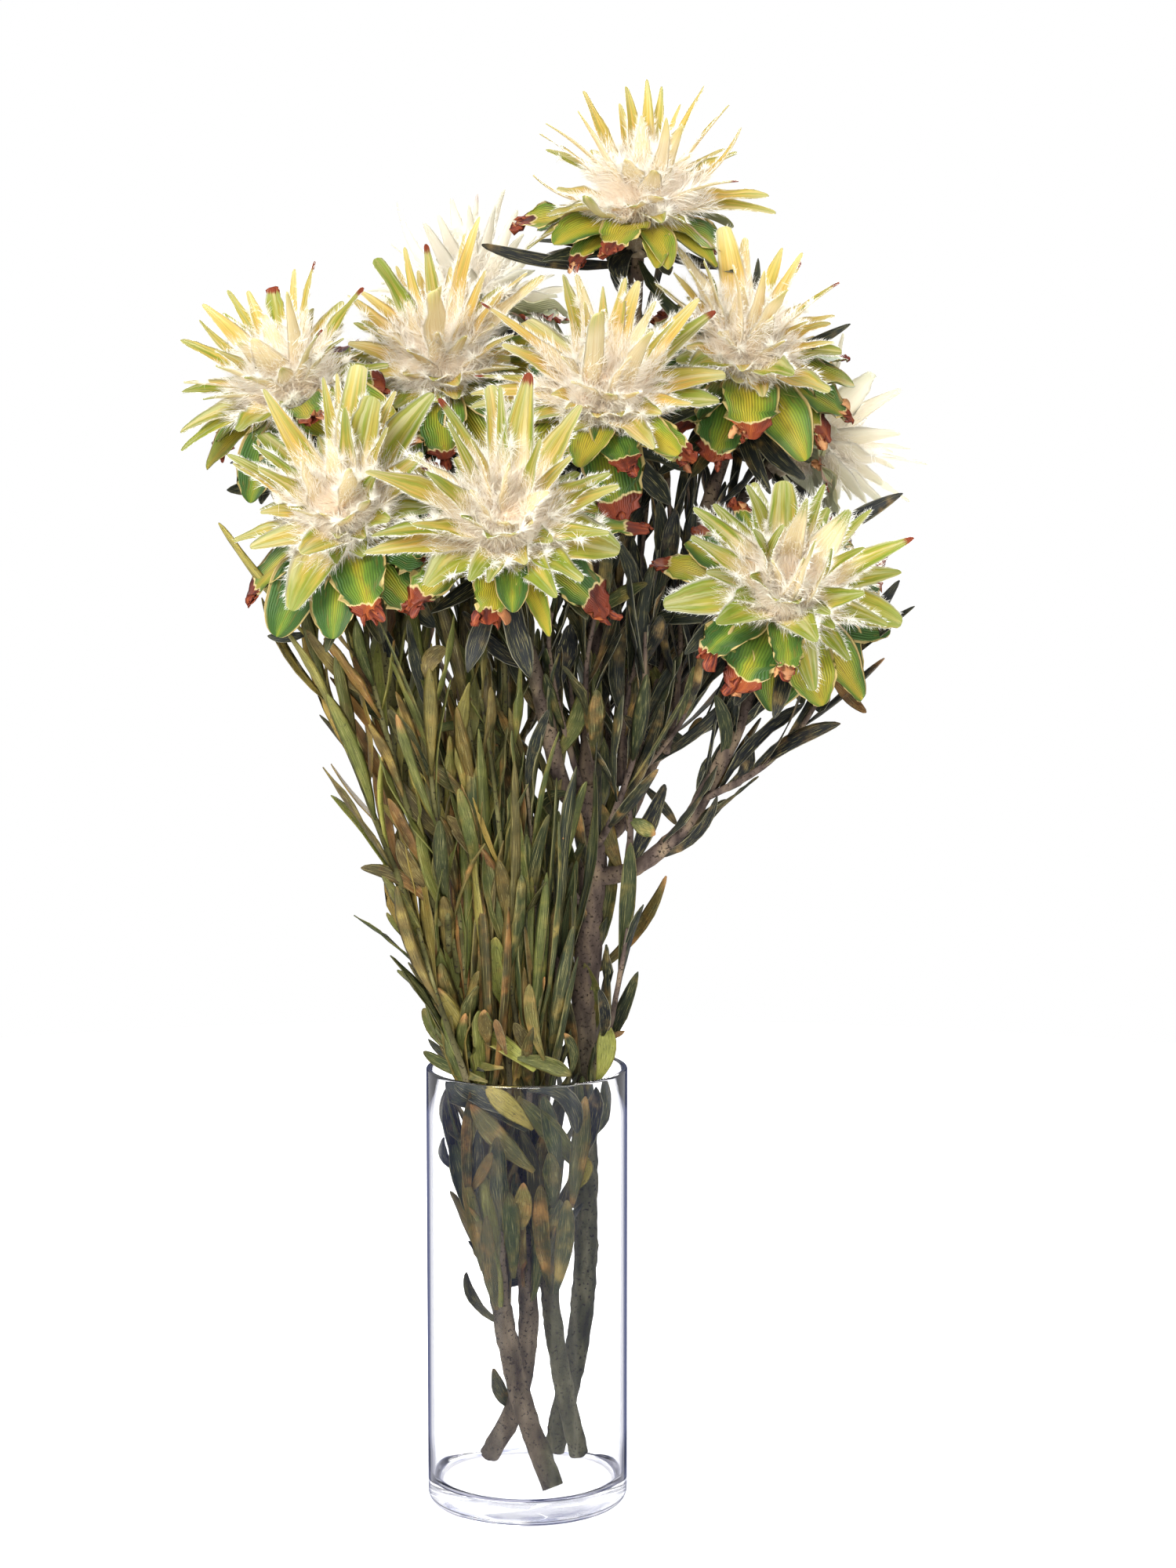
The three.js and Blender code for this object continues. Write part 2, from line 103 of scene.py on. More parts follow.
# What a word does to a bract's outline and finish.
LOOKS = {
    "rust": {"rust": 1.0},
    "cut": {"point": 0.52, "sharp": 2.4},
    "green": {"green": 0.85},
    "curl": {"bow": -0.13},
    "wool": {"felt": 0.8, "tuft": 1.0},
    "fringe": {"rust": 1.0, "fringe": 1.0},
}


class Head(NamedTuple):
    """A flower head: the middle of its boss and the way it looks."""

    number: int
    middle: np.ndarray
    axis: np.ndarray


# Tips of the bracts of each head, in pixels of the 1500 x 2000 picture: across, down and width in mm.
TIPS = {
    1: {
        "inner": (
            (744, 116, 9), (737, 141, 8), (696, 157, 8), (798, 110, 9), (825, 101, 7),
            (844, 110, 8), (868, 133, 5), (899, 109, 6), (871, 160, 9), (930, 133, 8),
            (790, 132, 8), (850, 150, 7),
        ),
        "inner curl": ((945, 162, 9),),
        "mid": ((696, 191, 8), (688, 170, 5), (925, 190, 6)),
        "mid rust": ((942, 231, 5),),
        "mid curl": ((680, 223, 4),),
        "scale": ((818, 147, 13), (880, 199, 12), (798, 203, 17)),
        "low": ((981, 250, 12), (990, 272, 14), (700, 276, 12), (672, 318, 12)),
        "low curl": ((747, 250, 11),),
        "outer": ((706, 312, 22), (837, 342, 15), (852, 344, 15), (933, 291, 20)),
        "outer fringe": ((910, 316, 22), (775, 326, 20), (730, 344, 17)),
    },
    2: {
        "inner": ((558, 274, 9), (598, 261, 8), (644, 241, 9), (575, 252, 10), (632, 262, 9), (522, 310, 8)),
        "inner curl": ((507, 258, 12),),
        "inner rust": ((609, 247, 7),),
        "mid": ((660, 268, 8), (540, 284, 8)),
        "low": ((680, 345, 12),),
    },
    3: {
        "inner": ((258, 388, 9), (316, 371, 8), (376, 343, 8), (283, 400, 9), (366, 372, 8)),
        "inner curl": ((290, 370, 7), (254, 408, 8)),
        "inner rust": ((402, 333, 8), (464, 367, 9)),
        "inner cut rust green": ((347, 366, 9),),
        "mid": ((230, 434, 11), (438, 432, 8)),
        "mid rust": ((411, 421, 9),),
        "scale": ((323, 432, 18), (303, 437, 12), (337, 402, 15), (392, 394, 12), (424, 436, 11)),
        "low": ((232, 500, 15), (330, 500, 13)),
        "low green": ((230, 552, 14), (231, 575, 10), (304, 550, 18)),
        "outer fringe": ((283, 585, 20), (400, 540, 20)),
    },
    4: {
        "inner": (
            (505, 339, 8), (516, 315, 6), (593, 298, 8), (612, 276, 9), (673, 348, 9),
            (620, 345, 10), (533, 345, 8), (575, 340, 8), (640, 372, 9),
        ),
        "inner cut green": ((478, 330, 9),),
        "inner rust": ((543, 311, 9),),
        "inner cut": ((556, 369, 12),),
        "inner wool": ((695, 352, 12),),
        "mid": ((451, 412, 9), (500, 380, 9), (655, 428, 10)),
        "scale": ((482, 422, 18), (630, 415, 18), (558, 424, 10), (521, 384, 15), (600, 390, 13)),
        "low": ((438, 452, 15), (660, 470, 12)),
        "outer": ((500, 497, 20), (604, 497, 22)),
        "outer fringe": ((560, 512, 18),),
    },
    5: {
        "inner": (
            (718, 350, 11), (769, 365, 7), (798, 354, 9), (815, 358, 11), (833, 423, 9),
            (892, 381, 11), (745, 385, 8), (860, 410, 8),
        ),
        "inner wool": ((735, 350, 9), (837, 384, 8)),
        "inner cut": ((763, 399, 10),),
        "inner rust": ((613, 386, 8),),
        "mid": ((640, 440, 10), (600, 520, 10), (600, 503, 9)),
        "mid cut": ((668, 411, 14),),
        "mid rust": ((605, 480, 6),),
        "mid green rust": ((913, 397, 13),),
        "scale": ((759, 425, 18), (729, 487, 12), (716, 455, 12), (805, 455, 12)),
        "low": ((926, 479, 14), (833, 573, 13)),
        "low green": ((857, 588, 11), (918, 512, 14)),
        "outer": ((740, 596, 20), (866, 580, 18)),
        "outer fringe": ((800, 602, 20), (888, 588, 14)),
    },
    6: {
        "inner": (
            (898, 333, 9), (859, 348, 8), (998, 316, 9), (1004, 370, 12), (836, 362, 7),
            (880, 345, 8), (975, 345, 8), (935, 340, 9),
        ),
        "inner cut": ((922, 289, 11),),
        "inner wool": ((861, 313, 9), (951, 303, 12)),
        "inner rust": ((1021, 333, 8), (1071, 360, 9)),
        "mid": ((1065, 403, 12), (1030, 385, 9)),
        "scale": ((946, 366, 15), (916, 425, 13), (985, 405, 13)),
        "low": ((1058, 500, 19), (1012, 478, 15)),
        "low green": ((880, 470, 16),),
        "outer": ((1078, 482, 16),),
        "outer fringe": ((955, 560, 26), (1081, 458, 18), (1042, 520, 16)),
    },
    7: {
        "inner": ((412, 481, 8), (430, 476, 7), (505, 499, 9), (440, 520, 8)),
        "inner cut": ((459, 465, 12), (477, 506, 15)),
        "mid": ((336, 496, 11), (297, 591, 14), (290, 580, 9)),
        "mid cut": ((332, 554, 12),),
        "scale": ((445, 598, 14), (385, 587, 16), (420, 560, 12)),
        "low": ((298, 690, 9), (319, 699, 11), (332, 650, 13), (384, 706, 14)),
        "low green": ((372, 779, 19), (553, 502, 19)),
        "outer": ((520, 620, 18),),
        "outer fringe": ((474, 790, 25), (368, 726, 14)),
    },
    8: {
        "inner": ((571, 538, 8), (638, 492, 7), (742, 517, 13), (543, 602, 13), (690, 560, 9), (600, 560, 9)),
        "inner green rust": ((559, 508, 11),),
        "inner cut": ((625, 491, 9),),
        "inner rust": ((675, 475, 16),),
        "inner wool": ((520, 580, 9),),
        "mid": ((466, 602, 14), (526, 670, 13), (790, 620, 11), (474, 684, 12), (465, 705, 14)),
        "mid green": ((779, 604, 13),),
        "scale": ((650, 592, 17), (600, 625, 14), (700, 628, 13)),
        "low": ((545, 748, 24), (710, 762, 14), (743, 741, 15), (599, 741, 9)),
        "low green": ((623, 743, 9), (790, 705, 26)),
        "outer": ((701, 812, 10), (653, 781, 15)),
        "outer fringe": ((524, 776, 25), (623, 797, 18), (828, 677, 15)),
    },
    9: {
        "inner": (
            (884, 648, 11), (881, 685, 11), (952, 619, 10), (1103, 699, 9),
            (960, 676, 10), (1040, 690, 8), (1000, 670, 9), (1060, 700, 9),
        ),
        "inner rust": ((1166, 686, 12),),
        "inner cut green": ((1000, 613, 13),),
        "inner wool": ((1030, 635, 9), (1084, 650, 15)),
        "mid": ((1103, 756, 12), (1112, 650, 10)),
        "mid green": ((1150, 730, 12),),
        "scale": ((985, 715, 12), (1025, 712, 12)),
        "low": ((914, 796, 15), (1042, 818, 14)),
        "low green": ((1150, 796, 17), (846, 772, 16)),
        "outer": ((1096, 860, 22), (1060, 852, 13)),
        "outer fringe": ((834, 716, 18), (938, 883, 26), (940, 640, 15), (895, 840, 20), (1004, 862, 16)),
    },
    10: {
        "inner": ((1150, 497, 9), (1112, 520, 12), (1139, 577, 13), (1100, 500, 10)),
        "mid": ((1114, 476, 14), (1148, 553, 12), (1141, 597, 14)),
        "low": ((1105, 640, 12), (1075, 625, 13)),
    },
}

PAINTED_GLARE_HEADS = {2: 0.85, 10: 0.75}  # painted light: the two at the back are painted paler for the glare that washes them out
GREEN_HEADS = {9: 0.6, 8: 0.35, 7: 0.3, 3: 0.15, 4: -0.1, 5: -0.05, 6: -0.05}  # kept or lost green


def linear(code):
    """An sRGB hex colour as linear red, green, blue and 1."""
    parts = [int(code[i : i + 2], 16) / 255 for i in (0, 2, 4)]
    return tuple(c / 12.92 if c <= 0.04045 else ((c + 0.055) / 1.055) ** 2.4 for c in parts) + (1.0,)


def unit(vectors):
    """The vectors with length 1."""
    return vectors / np.maximum(np.linalg.norm(vectors, axis=-1, keepdims=True), 1e-12)


def dot(a, b):
    """The scalar product along the last axis, kept as a column."""
    return np.sum(a * b, axis=-1, keepdims=True)


def sight(across, down):
    """The direction from the camera through a pixel of the picture."""
    return unit(
        FORWARD * FOCAL_PIXELS
        + RIGHTWARD * (across - PICTURE_WIDTH / 2)
        + UPWARD * (PICTURE_HEIGHT / 2 - down)
    )


class BouquetSettings(bpy.types.PropertyGroup):
    """The sizes, amounts and colours that a user would change."""

    bract_width: FloatProperty(
        name="Bract width",
        description="Width of the cream bracts as a share of what the tips' table gives",
        default=1.3,
        min=0.5,
        max=2.0,
        subtype="FACTOR",
    )
    wool: FloatProperty(
        name="Wool",
        description="Amount of wool on the heads as a share of the real amount",
        default=1.0,
        min=0.1,
        max=2.0,
        subtype="FACTOR",
    )
    collar_leaves: IntProperty(
        name="Collar leaves",
        description="How many leaves stand round the stem under each head",
        default=11,
        min=0,
        max=20,
    )
    vase_wall: FloatProperty(
        name="Vase wall",
        description="Thickness of the glass wall",
        default=2.6 * MM,
        min=1 * MM,
        max=8 * MM,
        unit="LENGTH",
    )
    wool_colour: FloatVectorProperty(
        name="Wool colour",
        description="Colour of the hairs' ends",
        default=linear("FCFAF4"),
        size=4,
        subtype="COLOR",
    )


def settings():
    """The scene's bouquet settings."""
    return bpy.context.scene.bouquet


def node_points(name):
    """The different corner points of a frame node."""
    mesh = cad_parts[name].data
    points = np.empty(len(mesh.vertices) * 3, np.float32)
    mesh.vertices.foreach_get("co", points)
    return np.unique(np.round(points.reshape(-1, 3).astype(float), 5), axis=0)


BOSS_TOP = 12 * MM  # from the boss's middle to the top of the frame's solid


def head_of(number):
    """A head's frame from its receptacle, a turned solid.

    Its long direction is the axis, the end where it is fatter is up, and its top is 12 mm over the middle.
    """
    points = node_points(f"receptacle_{number}")
    centre = points.mean(axis=0)
    axis = np.linalg.svd(points - centre)[2][0]
    heights = (points - centre) @ axis
    radii = np.linalg.norm(points - centre - heights[:, None] * axis, axis=1)
    if np.sum(radii * (heights - heights.mean())) < 0:
        axis, heights = -axis, -heights
    return Head(number, centre + axis * (heights.max() - BOSS_TOP), axis)


HEADS = {number: head_of(number) for number in TIPS}


def make_mesh(name, points, quads, triangles, fields):
    """A mesh from whole arrays of points and corners, with named values on its points."""
    mesh = bpy.data.meshes.new(name)
    corners = np.concatenate([quads.ravel(), triangles.ravel()])
    starts = np.concatenate([np.arange(len(quads)) * 4, len(quads) * 4 + np.arange(len(triangles)) * 3])
    mesh.vertices.add(len(points))
    mesh.vertices.foreach_set("co", points.astype(np.float32).ravel())
    mesh.loops.add(len(corners))
    mesh.loops.foreach_set("vertex_index", corners.astype(np.int32))
    mesh.polygons.add(len(starts))
    mesh.polygons.foreach_set("loop_start", starts.astype(np.int32))
    for key, values in fields.items():
        kind, slot = ("FLOAT", "value") if values.ndim == 1 else ("FLOAT_VECTOR", "vector")
        mesh.attributes.new(key, kind, "POINT").data.foreach_set(slot, values.astype(np.float32).ravel())
    mesh.update(calc_edges=True)
    mesh.polygons.foreach_set("use_smooth", np.ones(len(starts), bool))
    return mesh


def place_piece(name, mesh, material, nodes):
    """Puts a mesh into the scene as a piece that stands for frame nodes."""
    mesh.materials.append(material)
    piece = bpy.data.objects.new(name, mesh)
    bpy.context.scene.collection.objects.link(piece)
    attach(piece, "root")
    if nodes:
        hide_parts(*nodes)
    return piece


NO_QUADS = np.empty((0, 4), int)


def tube_faces(count, steps, sides):
    """Corners of closed tubes: each is a pole, its rings and a pole, and its faces point outwards."""
    ring = np.arange(steps - 1)[:, None] * sides + 1
    here = np.arange(sides)[None, :]
    following = (here + 1) % sides
    quads = np.stack([ring + here, ring + following, ring + following + sides, ring + here + sides], -1)
    last = 1 + (steps - 1) * sides
    pole = np.zeros(sides, int)
    root = np.stack([pole, 1 + following[0], 1 + here[0]], -1)
    tip = np.stack([pole + last + sides, last + here[0], last + following[0]], -1)
    start = np.arange(count)[:, None, None] * (steps * sides + 2)
    all_quads = quads.reshape(1, -1, 4) + start
    all_triangles = np.concatenate([root, tip])[None] + start
    return all_quads.reshape(-1, 4), all_triangles.reshape(-1, 3)


BLADE_DEFAULTS = {
    "sway": 0.0,
    "twist": 0.0,
    "tear": 0.0,
    "ripple": 0.0,
    "tint": 0.5,
    "rust": 0.0,
    "felt": 0.0,
    "pale": 0.0,
    "green": 0.0,
    "tuft": 0.0,
    "hairs": 0.0,
    "fluff": 0.0,
    "phase": 0.0,
}


def stacked(rows):
    """Blades given one by one, as one array for each of their values."""
    full = [{**BLADE_DEFAULTS, **row} for row in rows]
    return {key: np.array([row[key] for row in full], float) for key in full[0]}


def outline(along, blades):
    """Half-width share: a quarter sine from root to belly, then a power curve down to the tip's share.

    The last 3 % of the length is rounded off by a quarter circle.
    """
    belly, root, point, sharp = (blades[key][:, None] for key in ("belly", "root", "point", "sharp"))
    rising = root + (1 - root) * np.sin(math.pi / 2 * np.clip(along / belly, 0, 1))
    beyond = np.clip((along - belly) / (1 - belly), 0, 1)
    falling = point + (1 - point) * (1 - beyond**sharp)
    rounded = np.sqrt(1 - np.clip((along - 0.97) / 0.03, 0, 1) ** 2)
    return np.where(along < belly, rising, falling) * rounded


def blade_surface(blades, along, across, lift):
    """Points on curved blades, with the directions across, out of and along them there.

    The middle line runs from base to tip and arches by bow and sway times a parabola. A section is a
    lens that is twisted round it, with its edges raised by the square of the distance from the middle.
    Torn edges add three sine waves of different lengths near the tip.
    """
    column = {key: value[:, None, None] for key, value in blades.items() if value.ndim == 1}
    share, wide = along[..., None], across[..., None]
    base, chord = blades["base"][:, None, :], (blades["tip"] - blades["base"])[:, None, :]
    length = np.linalg.norm(chord, axis=-1, keepdims=True)
    ahead = chord / length
    face = blades["face"][:, None, :]
    face = unit(face - ahead * dot(face, ahead))
    side = np.cross(face, ahead)
    push = length * (face * column["bow"] + side * column["sway"])
    middle = base + chord * share + push * 4 * share * (1 - share)
    tangent = unit(chord + push * 4 * (1 - 2 * share))
    flat = unit(np.cross(face, tangent))
    turn = column["twist"] * share
    flat = flat * np.cos(turn) + np.cross(tangent, flat) * np.sin(turn)
    normal = np.cross(tangent, flat)
    half = column["width"] / 2 * outline(along, blades)[..., None]
    phase = column["phase"] + wide * 0.7
    wave = sum(np.sin(math.tau * (share * turns + phase * turns)) / 3 for turns in (5, 11, 19))
    torn = 1 + column["tear"] * wave * np.clip(share * 2 - 0.9, 0, 1)
    lifted = half * 2 * column["cup"] * (wide**2 - 0.3)
    rippled = half * column["ripple"] * wide * np.sin(math.tau * (share * 2.3 + column["phase"]))
    skin = column["thick"] / 2 * lift[..., None]
    return middle + flat * half * torn * wide + normal * (lifted + rippled + skin), flat, normal, tangent


def blade_mesh(name, blades, steps, sides):
    """Closed thin blades: rings round the lens section, closer near the tip, with a pole at each end."""
    count = len(blades["width"])
    angle = math.tau * np.arange(sides) / sides
    share = np.minimum(1 - (1 - np.linspace(0, 1, steps)) ** 1.5, 0.995)
    along = np.concatenate([[0.0], np.repeat(share, sides), [1.0]])
    across = np.concatenate([[0.0], np.tile(np.cos(angle), steps), [0.0]])
    lift = np.concatenate([[0.0], np.tile(np.sin(angle), steps), [0.0]])
    along, across, lift = (np.tile(value, (count, 1)) for value in (along, across, lift))
    points = blade_surface(blades, along, across, lift)[0].reshape(-1, 3)
    nature = np.stack([blades[key] for key in ("tint", "rust", "felt")], -1)
    bloom = np.stack([blades[key] for key in ("green", "pale", "tuft")], -1)
    fields = {
        "place": np.stack([along, across, lift], -1).reshape(-1, 3),
        "nature": np.repeat(nature, along.shape[1], axis=0),
        "bloom": np.repeat(bloom, along.shape[1], axis=0),
    }
    return make_mesh(name, points, *tube_faces(count, steps, sides), fields)


def hair_mesh(name, roots, ways, lengths, widths, shades, rng):
    """Fine hairs, each one long thin triangle with its point outwards, less warm at the point."""
    across = unit(np.cross(ways, rng.normal(size=ways.shape))) * widths[:, None] / 2
    points = np.stack([roots - across, roots + across, roots + ways * lengths[:, None]], 1).reshape(-1, 3)
    triangles = np.arange(len(points)).reshape(-1, 3)
    shade = np.repeat(shades, 3, axis=0)
    shade[2::3] *= 0.35
    return make_mesh(name, points, NO_QUADS, triangles, {"shade": shade})


def tip_on_sight(head, across, down, kind):
    """Where on the sight line through a pixel a bract's length and rise fit its kind best."""
    ray = sight(across, down)
    start = head.middle + head.axis * kind.seat * MM
    nearest = np.dot(start - CAMERA_PLACE, ray)
    ends = CAMERA_PLACE + (nearest + np.linspace(-90, 90, 181)[:, None] * MM) * ray
    arms = ends - start
    lengths = np.linalg.norm(arms, axis=1) / MM
    rises = np.degrees(np.arcsin(arms @ head.axis / (lengths * MM)))
    misfit = ((lengths - kind.length) / (0.12 * kind.length)) ** 2 + ((rises - kind.rise) / 16) ** 2
    return ends[np.argmin(misfit)]


def bract(head, tip, kind, width, looks, rng):
    """One bract of a head as blade values, from its tip's place and its kind."""
    arm = tip - head.middle - head.axis * kind.seat * MM
    out = unit(arm - head.axis * np.dot(arm, head.axis))
    values = {
        "base": head.middle + (head.axis * kind.seat + out * kind.ring) * MM,
        "tip": tip,
        "face": head.axis + rng.normal(0, 0.12, 3),
        "width": width * MM,
        "belly": kind.belly + rng.uniform(-0.05, 0.08),
        "root": kind.root,
        "point": kind.point * rng.uniform(0.6, 1.4),
        "sharp": kind.sharp * rng.uniform(0.8, 1.3),
        "cup": kind.cup * rng.uniform(0.7, 1.3),
        "bow": kind.bow + rng.uniform(-0.02, 0.03),
        "sway": rng.uniform(-0.025, 0.025),
        "twist": rng.uniform(-0.35, 0.35),
        "thick": kind.thick * MM,
        "ripple": rng.uniform(0.0, 0.2),
        "tear": rng.uniform(0.0, 0.2),
        "tint": rng.uniform(),
        "felt": kind.felt,
        "green": np.clip(kind.green + rng.uniform(-0.35, 0.35) + GREEN_HEADS.get(head.number, 0), 0, 1),
        "pale": PAINTED_GLARE_HEADS.get(head.number, 0.0),
        "hairs": kind.hairs,
        "fluff": kind.fluff,
        "phase": rng.uniform(),
    }
    for look in looks:
        values.update(LOOKS[look])
    if "fringe" in values:
        values["tear"] = 0.5
        values["rust"] = rng.uniform(0.3, 1.1)
        values.pop("fringe")
    return values


def listed_bracts(head, rng):
    """The bracts that the picture shows, by kind."""
    made = {name: [] for name in KINDS}
    for words, tips in TIPS[head.number].items():
        name, *looks = words.split()
        wider = {"outer": OUTER_WIDER, "scale": 1.0}.get(name, settings().bract_width)
        for across, down, width in tips:
            kind = KINDS[name]
            tip = tip_on_sight(head, across, down, kind)
            made[name].append(bract(head, tip, kind, width * wider, looks, rng))
    return made


FILL = {"crown": 2, "scale": 4, "inner": 11, "mid": 13, "low": 13, "outer": 15}
FILL_LENGTH = {"crown": (0.5, 0.9), "scale": (0.42, 0.7), "outer": (0.88, 1.02)}  # against the kind's length
FILL_CLEARANCE = {"crown": 16, "scale": 26, "inner": 16, "mid": 16, "low": 16, "outer": 17}
FRONT_SHARE = 0.55  # past this share of the way towards the camera, the picture shows short bracts
FRONT_LENGTH = 0.62
GOLDEN_ANGLE = math.radians(137.5)


def across_axes(axis):
    """Two directions across an axis, at right angles to each other."""
    first = unit(np.cross(axis, [0.0, 1.0, 0.3]))
    return first, np.cross(axis, first)


def filled_bracts(head, made, rng):
    """Bracts for the sides that the picture hides.

    They stand at even turns round the head, each shifted a little at random. Where a bract already points
    that way none is added, and none reaches past the middle of the gap to the next head.
    """
    first, second = across_axes(head.axis)
    others = [other for other in HEADS.values() if other.number != head.number]
    taken = [unit(values["tip"] - head.middle) for rows in made.values() for values in rows]
    for name, count in FILL.items():
        kind = KINDS[name]
        for step in range(count):
            turn = step * math.tau / count + rng.uniform(-0.1, 0.1)
            rise = math.radians(kind.rise + rng.uniform(-7, 7))
            out = first * math.cos(turn) + second * math.sin(turn)
            way = out * math.cos(rise) + head.axis * math.sin(rise)
            if max(np.dot(way, other) for other in taken) > math.cos(math.radians(FILL_CLEARANCE[name])):
                continue
            length = kind.length * rng.uniform(*FILL_LENGTH.get(name, (0.66, 1.02))) * MM
            facing = np.dot(way, unit(CAMERA_PLACE - head.middle))
            if name in ("inner", "mid", "low") and facing > FRONT_SHARE:
                length *= FRONT_LENGTH
            seat = head.middle + head.axis * kind.seat * MM
            for other in others:
                between = other.middle - head.middle
                gap = np.linalg.norm(between)
                speed = np.dot(way, between / gap)
                if speed > 0:
                    length = min(length, (gap * 0.56 - np.dot(seat - head.middle, between / gap)) / speed)
            if length < kind.length * MM * 0.35:
                continue
            looks = ["fringe"] if name == "outer" and rng.uniform() < 0.5 else []
            width = kind.width * rng.uniform(0.85, 1.1)
            made[name].append(bract(head, seat + way * length, kind, width, looks, rng))
    return made


# The nodes that are used again and again: type, settings, sockets for the values, and the output taken.
NODES = {
    "step": ("ShaderNodeMapRange", {"interpolation_type": "SMOOTHSTEP"}, (0, 1, 2), 0),
    "mix": ("ShaderNodeMix", {"data_type": "RGBA"}, (0, 6, 7), 2),
    "tint": ("ShaderNodeMix", {"data_type": "RGBA", "blend_type": "MULTIPLY"}, (0, 6, 7), 2),
    "ramp": ("ShaderNodeValToRGB", {}, (0,), 0),
    "noise": ("ShaderNodeTexNoise", {}, ("Vector", "Scale", "Detail"), "Fac"),
    "join": ("ShaderNodeCombineXYZ", {}, (0, 1, 2), 0),
}
SUMS = "ADD SUBTRACT MULTIPLY MAXIMUM GREATER_THAN ABSOLUTE SINE COSINE ARCTAN2"
for operation in SUMS.split():
    NODES[operation.lower()] = ("ShaderNodeMath", {"operation": operation}, (0, 1), 0)


class Tree:
    """The nodes of a material or a world, added one after another."""

    def __init__(self, block):
        block.use_nodes = True
        self.block = block
        self.nodes = block.node_tree.nodes
        self.links = block.node_tree.links
        self.nodes.clear()

    def add(self, kind, *values, out=None, **extra):
        """Adds a node with its settings and links, and gives one of its outputs.

        Values go to the sockets that NODES names, or come as a dictionary by socket. A socket of another
        node makes a link, a hex colour is turned linear, and a ramp's second value is its stops.
        """
        kind, standing, sockets, usual = NODES.get(kind, (kind, {}, (), 0))
        node = self.nodes.new(kind)
        for key, value in {**standing, **extra}.items():
            setattr(node, key, value)
        wanted = values[0] if values and isinstance(values[0], dict) else dict(zip(sockets, values))
        for key, value in wanted.items():
            if isinstance(value, bpy.types.NodeSocket):
                self.links.new(value, node.inputs[key])
            else:
                node.inputs[key].default_value = linear(value) if isinstance(value, str) else value
        for index, (place, code) in enumerate(values[1] if kind == "ShaderNodeValToRGB" else ()):
            stops = node.color_ramp.elements
            stop = stops[index] if index < 2 else stops.new(place)
            stop.position = place
            stop.color = linear(code)
        return node.outputs[usual if out is None else out]

    def field(self, name):
        """The three values of one of the piece's own vector attributes."""
        vector = self.add("ShaderNodeAttribute", attribute_name=name, out="Vector")
        return tuple(self.add("ShaderNodeSeparateXYZ", {0: vector}).node.outputs)

    def done(self, shader):
        """Ends the nodes with their shader."""
        for_what = "World" if isinstance(self.block, bpy.types.World) else "Material"
        end = self.nodes.new(f"ShaderNodeOutput{for_what}")
        self.links.new(shader, end.inputs["Surface"])
        return self.block


MATERIALS = {}


def shared(maker):
    """The material that a function makes, made once for all the pieces that wear it."""
    if maker not in MATERIALS:
        MATERIALS[maker] = maker()
    return MATERIALS[maker]


def lengthwise(tree, across, along, seed, wide, long, detail):
    """Noise in streaks along a blade: so many streaks over half its width, and so many over its length."""
    add = tree.add
    spot = add("join", add("multiply", across, wide), add("multiply", along, long), seed)
    return add("noise", spot, 1.0, detail)


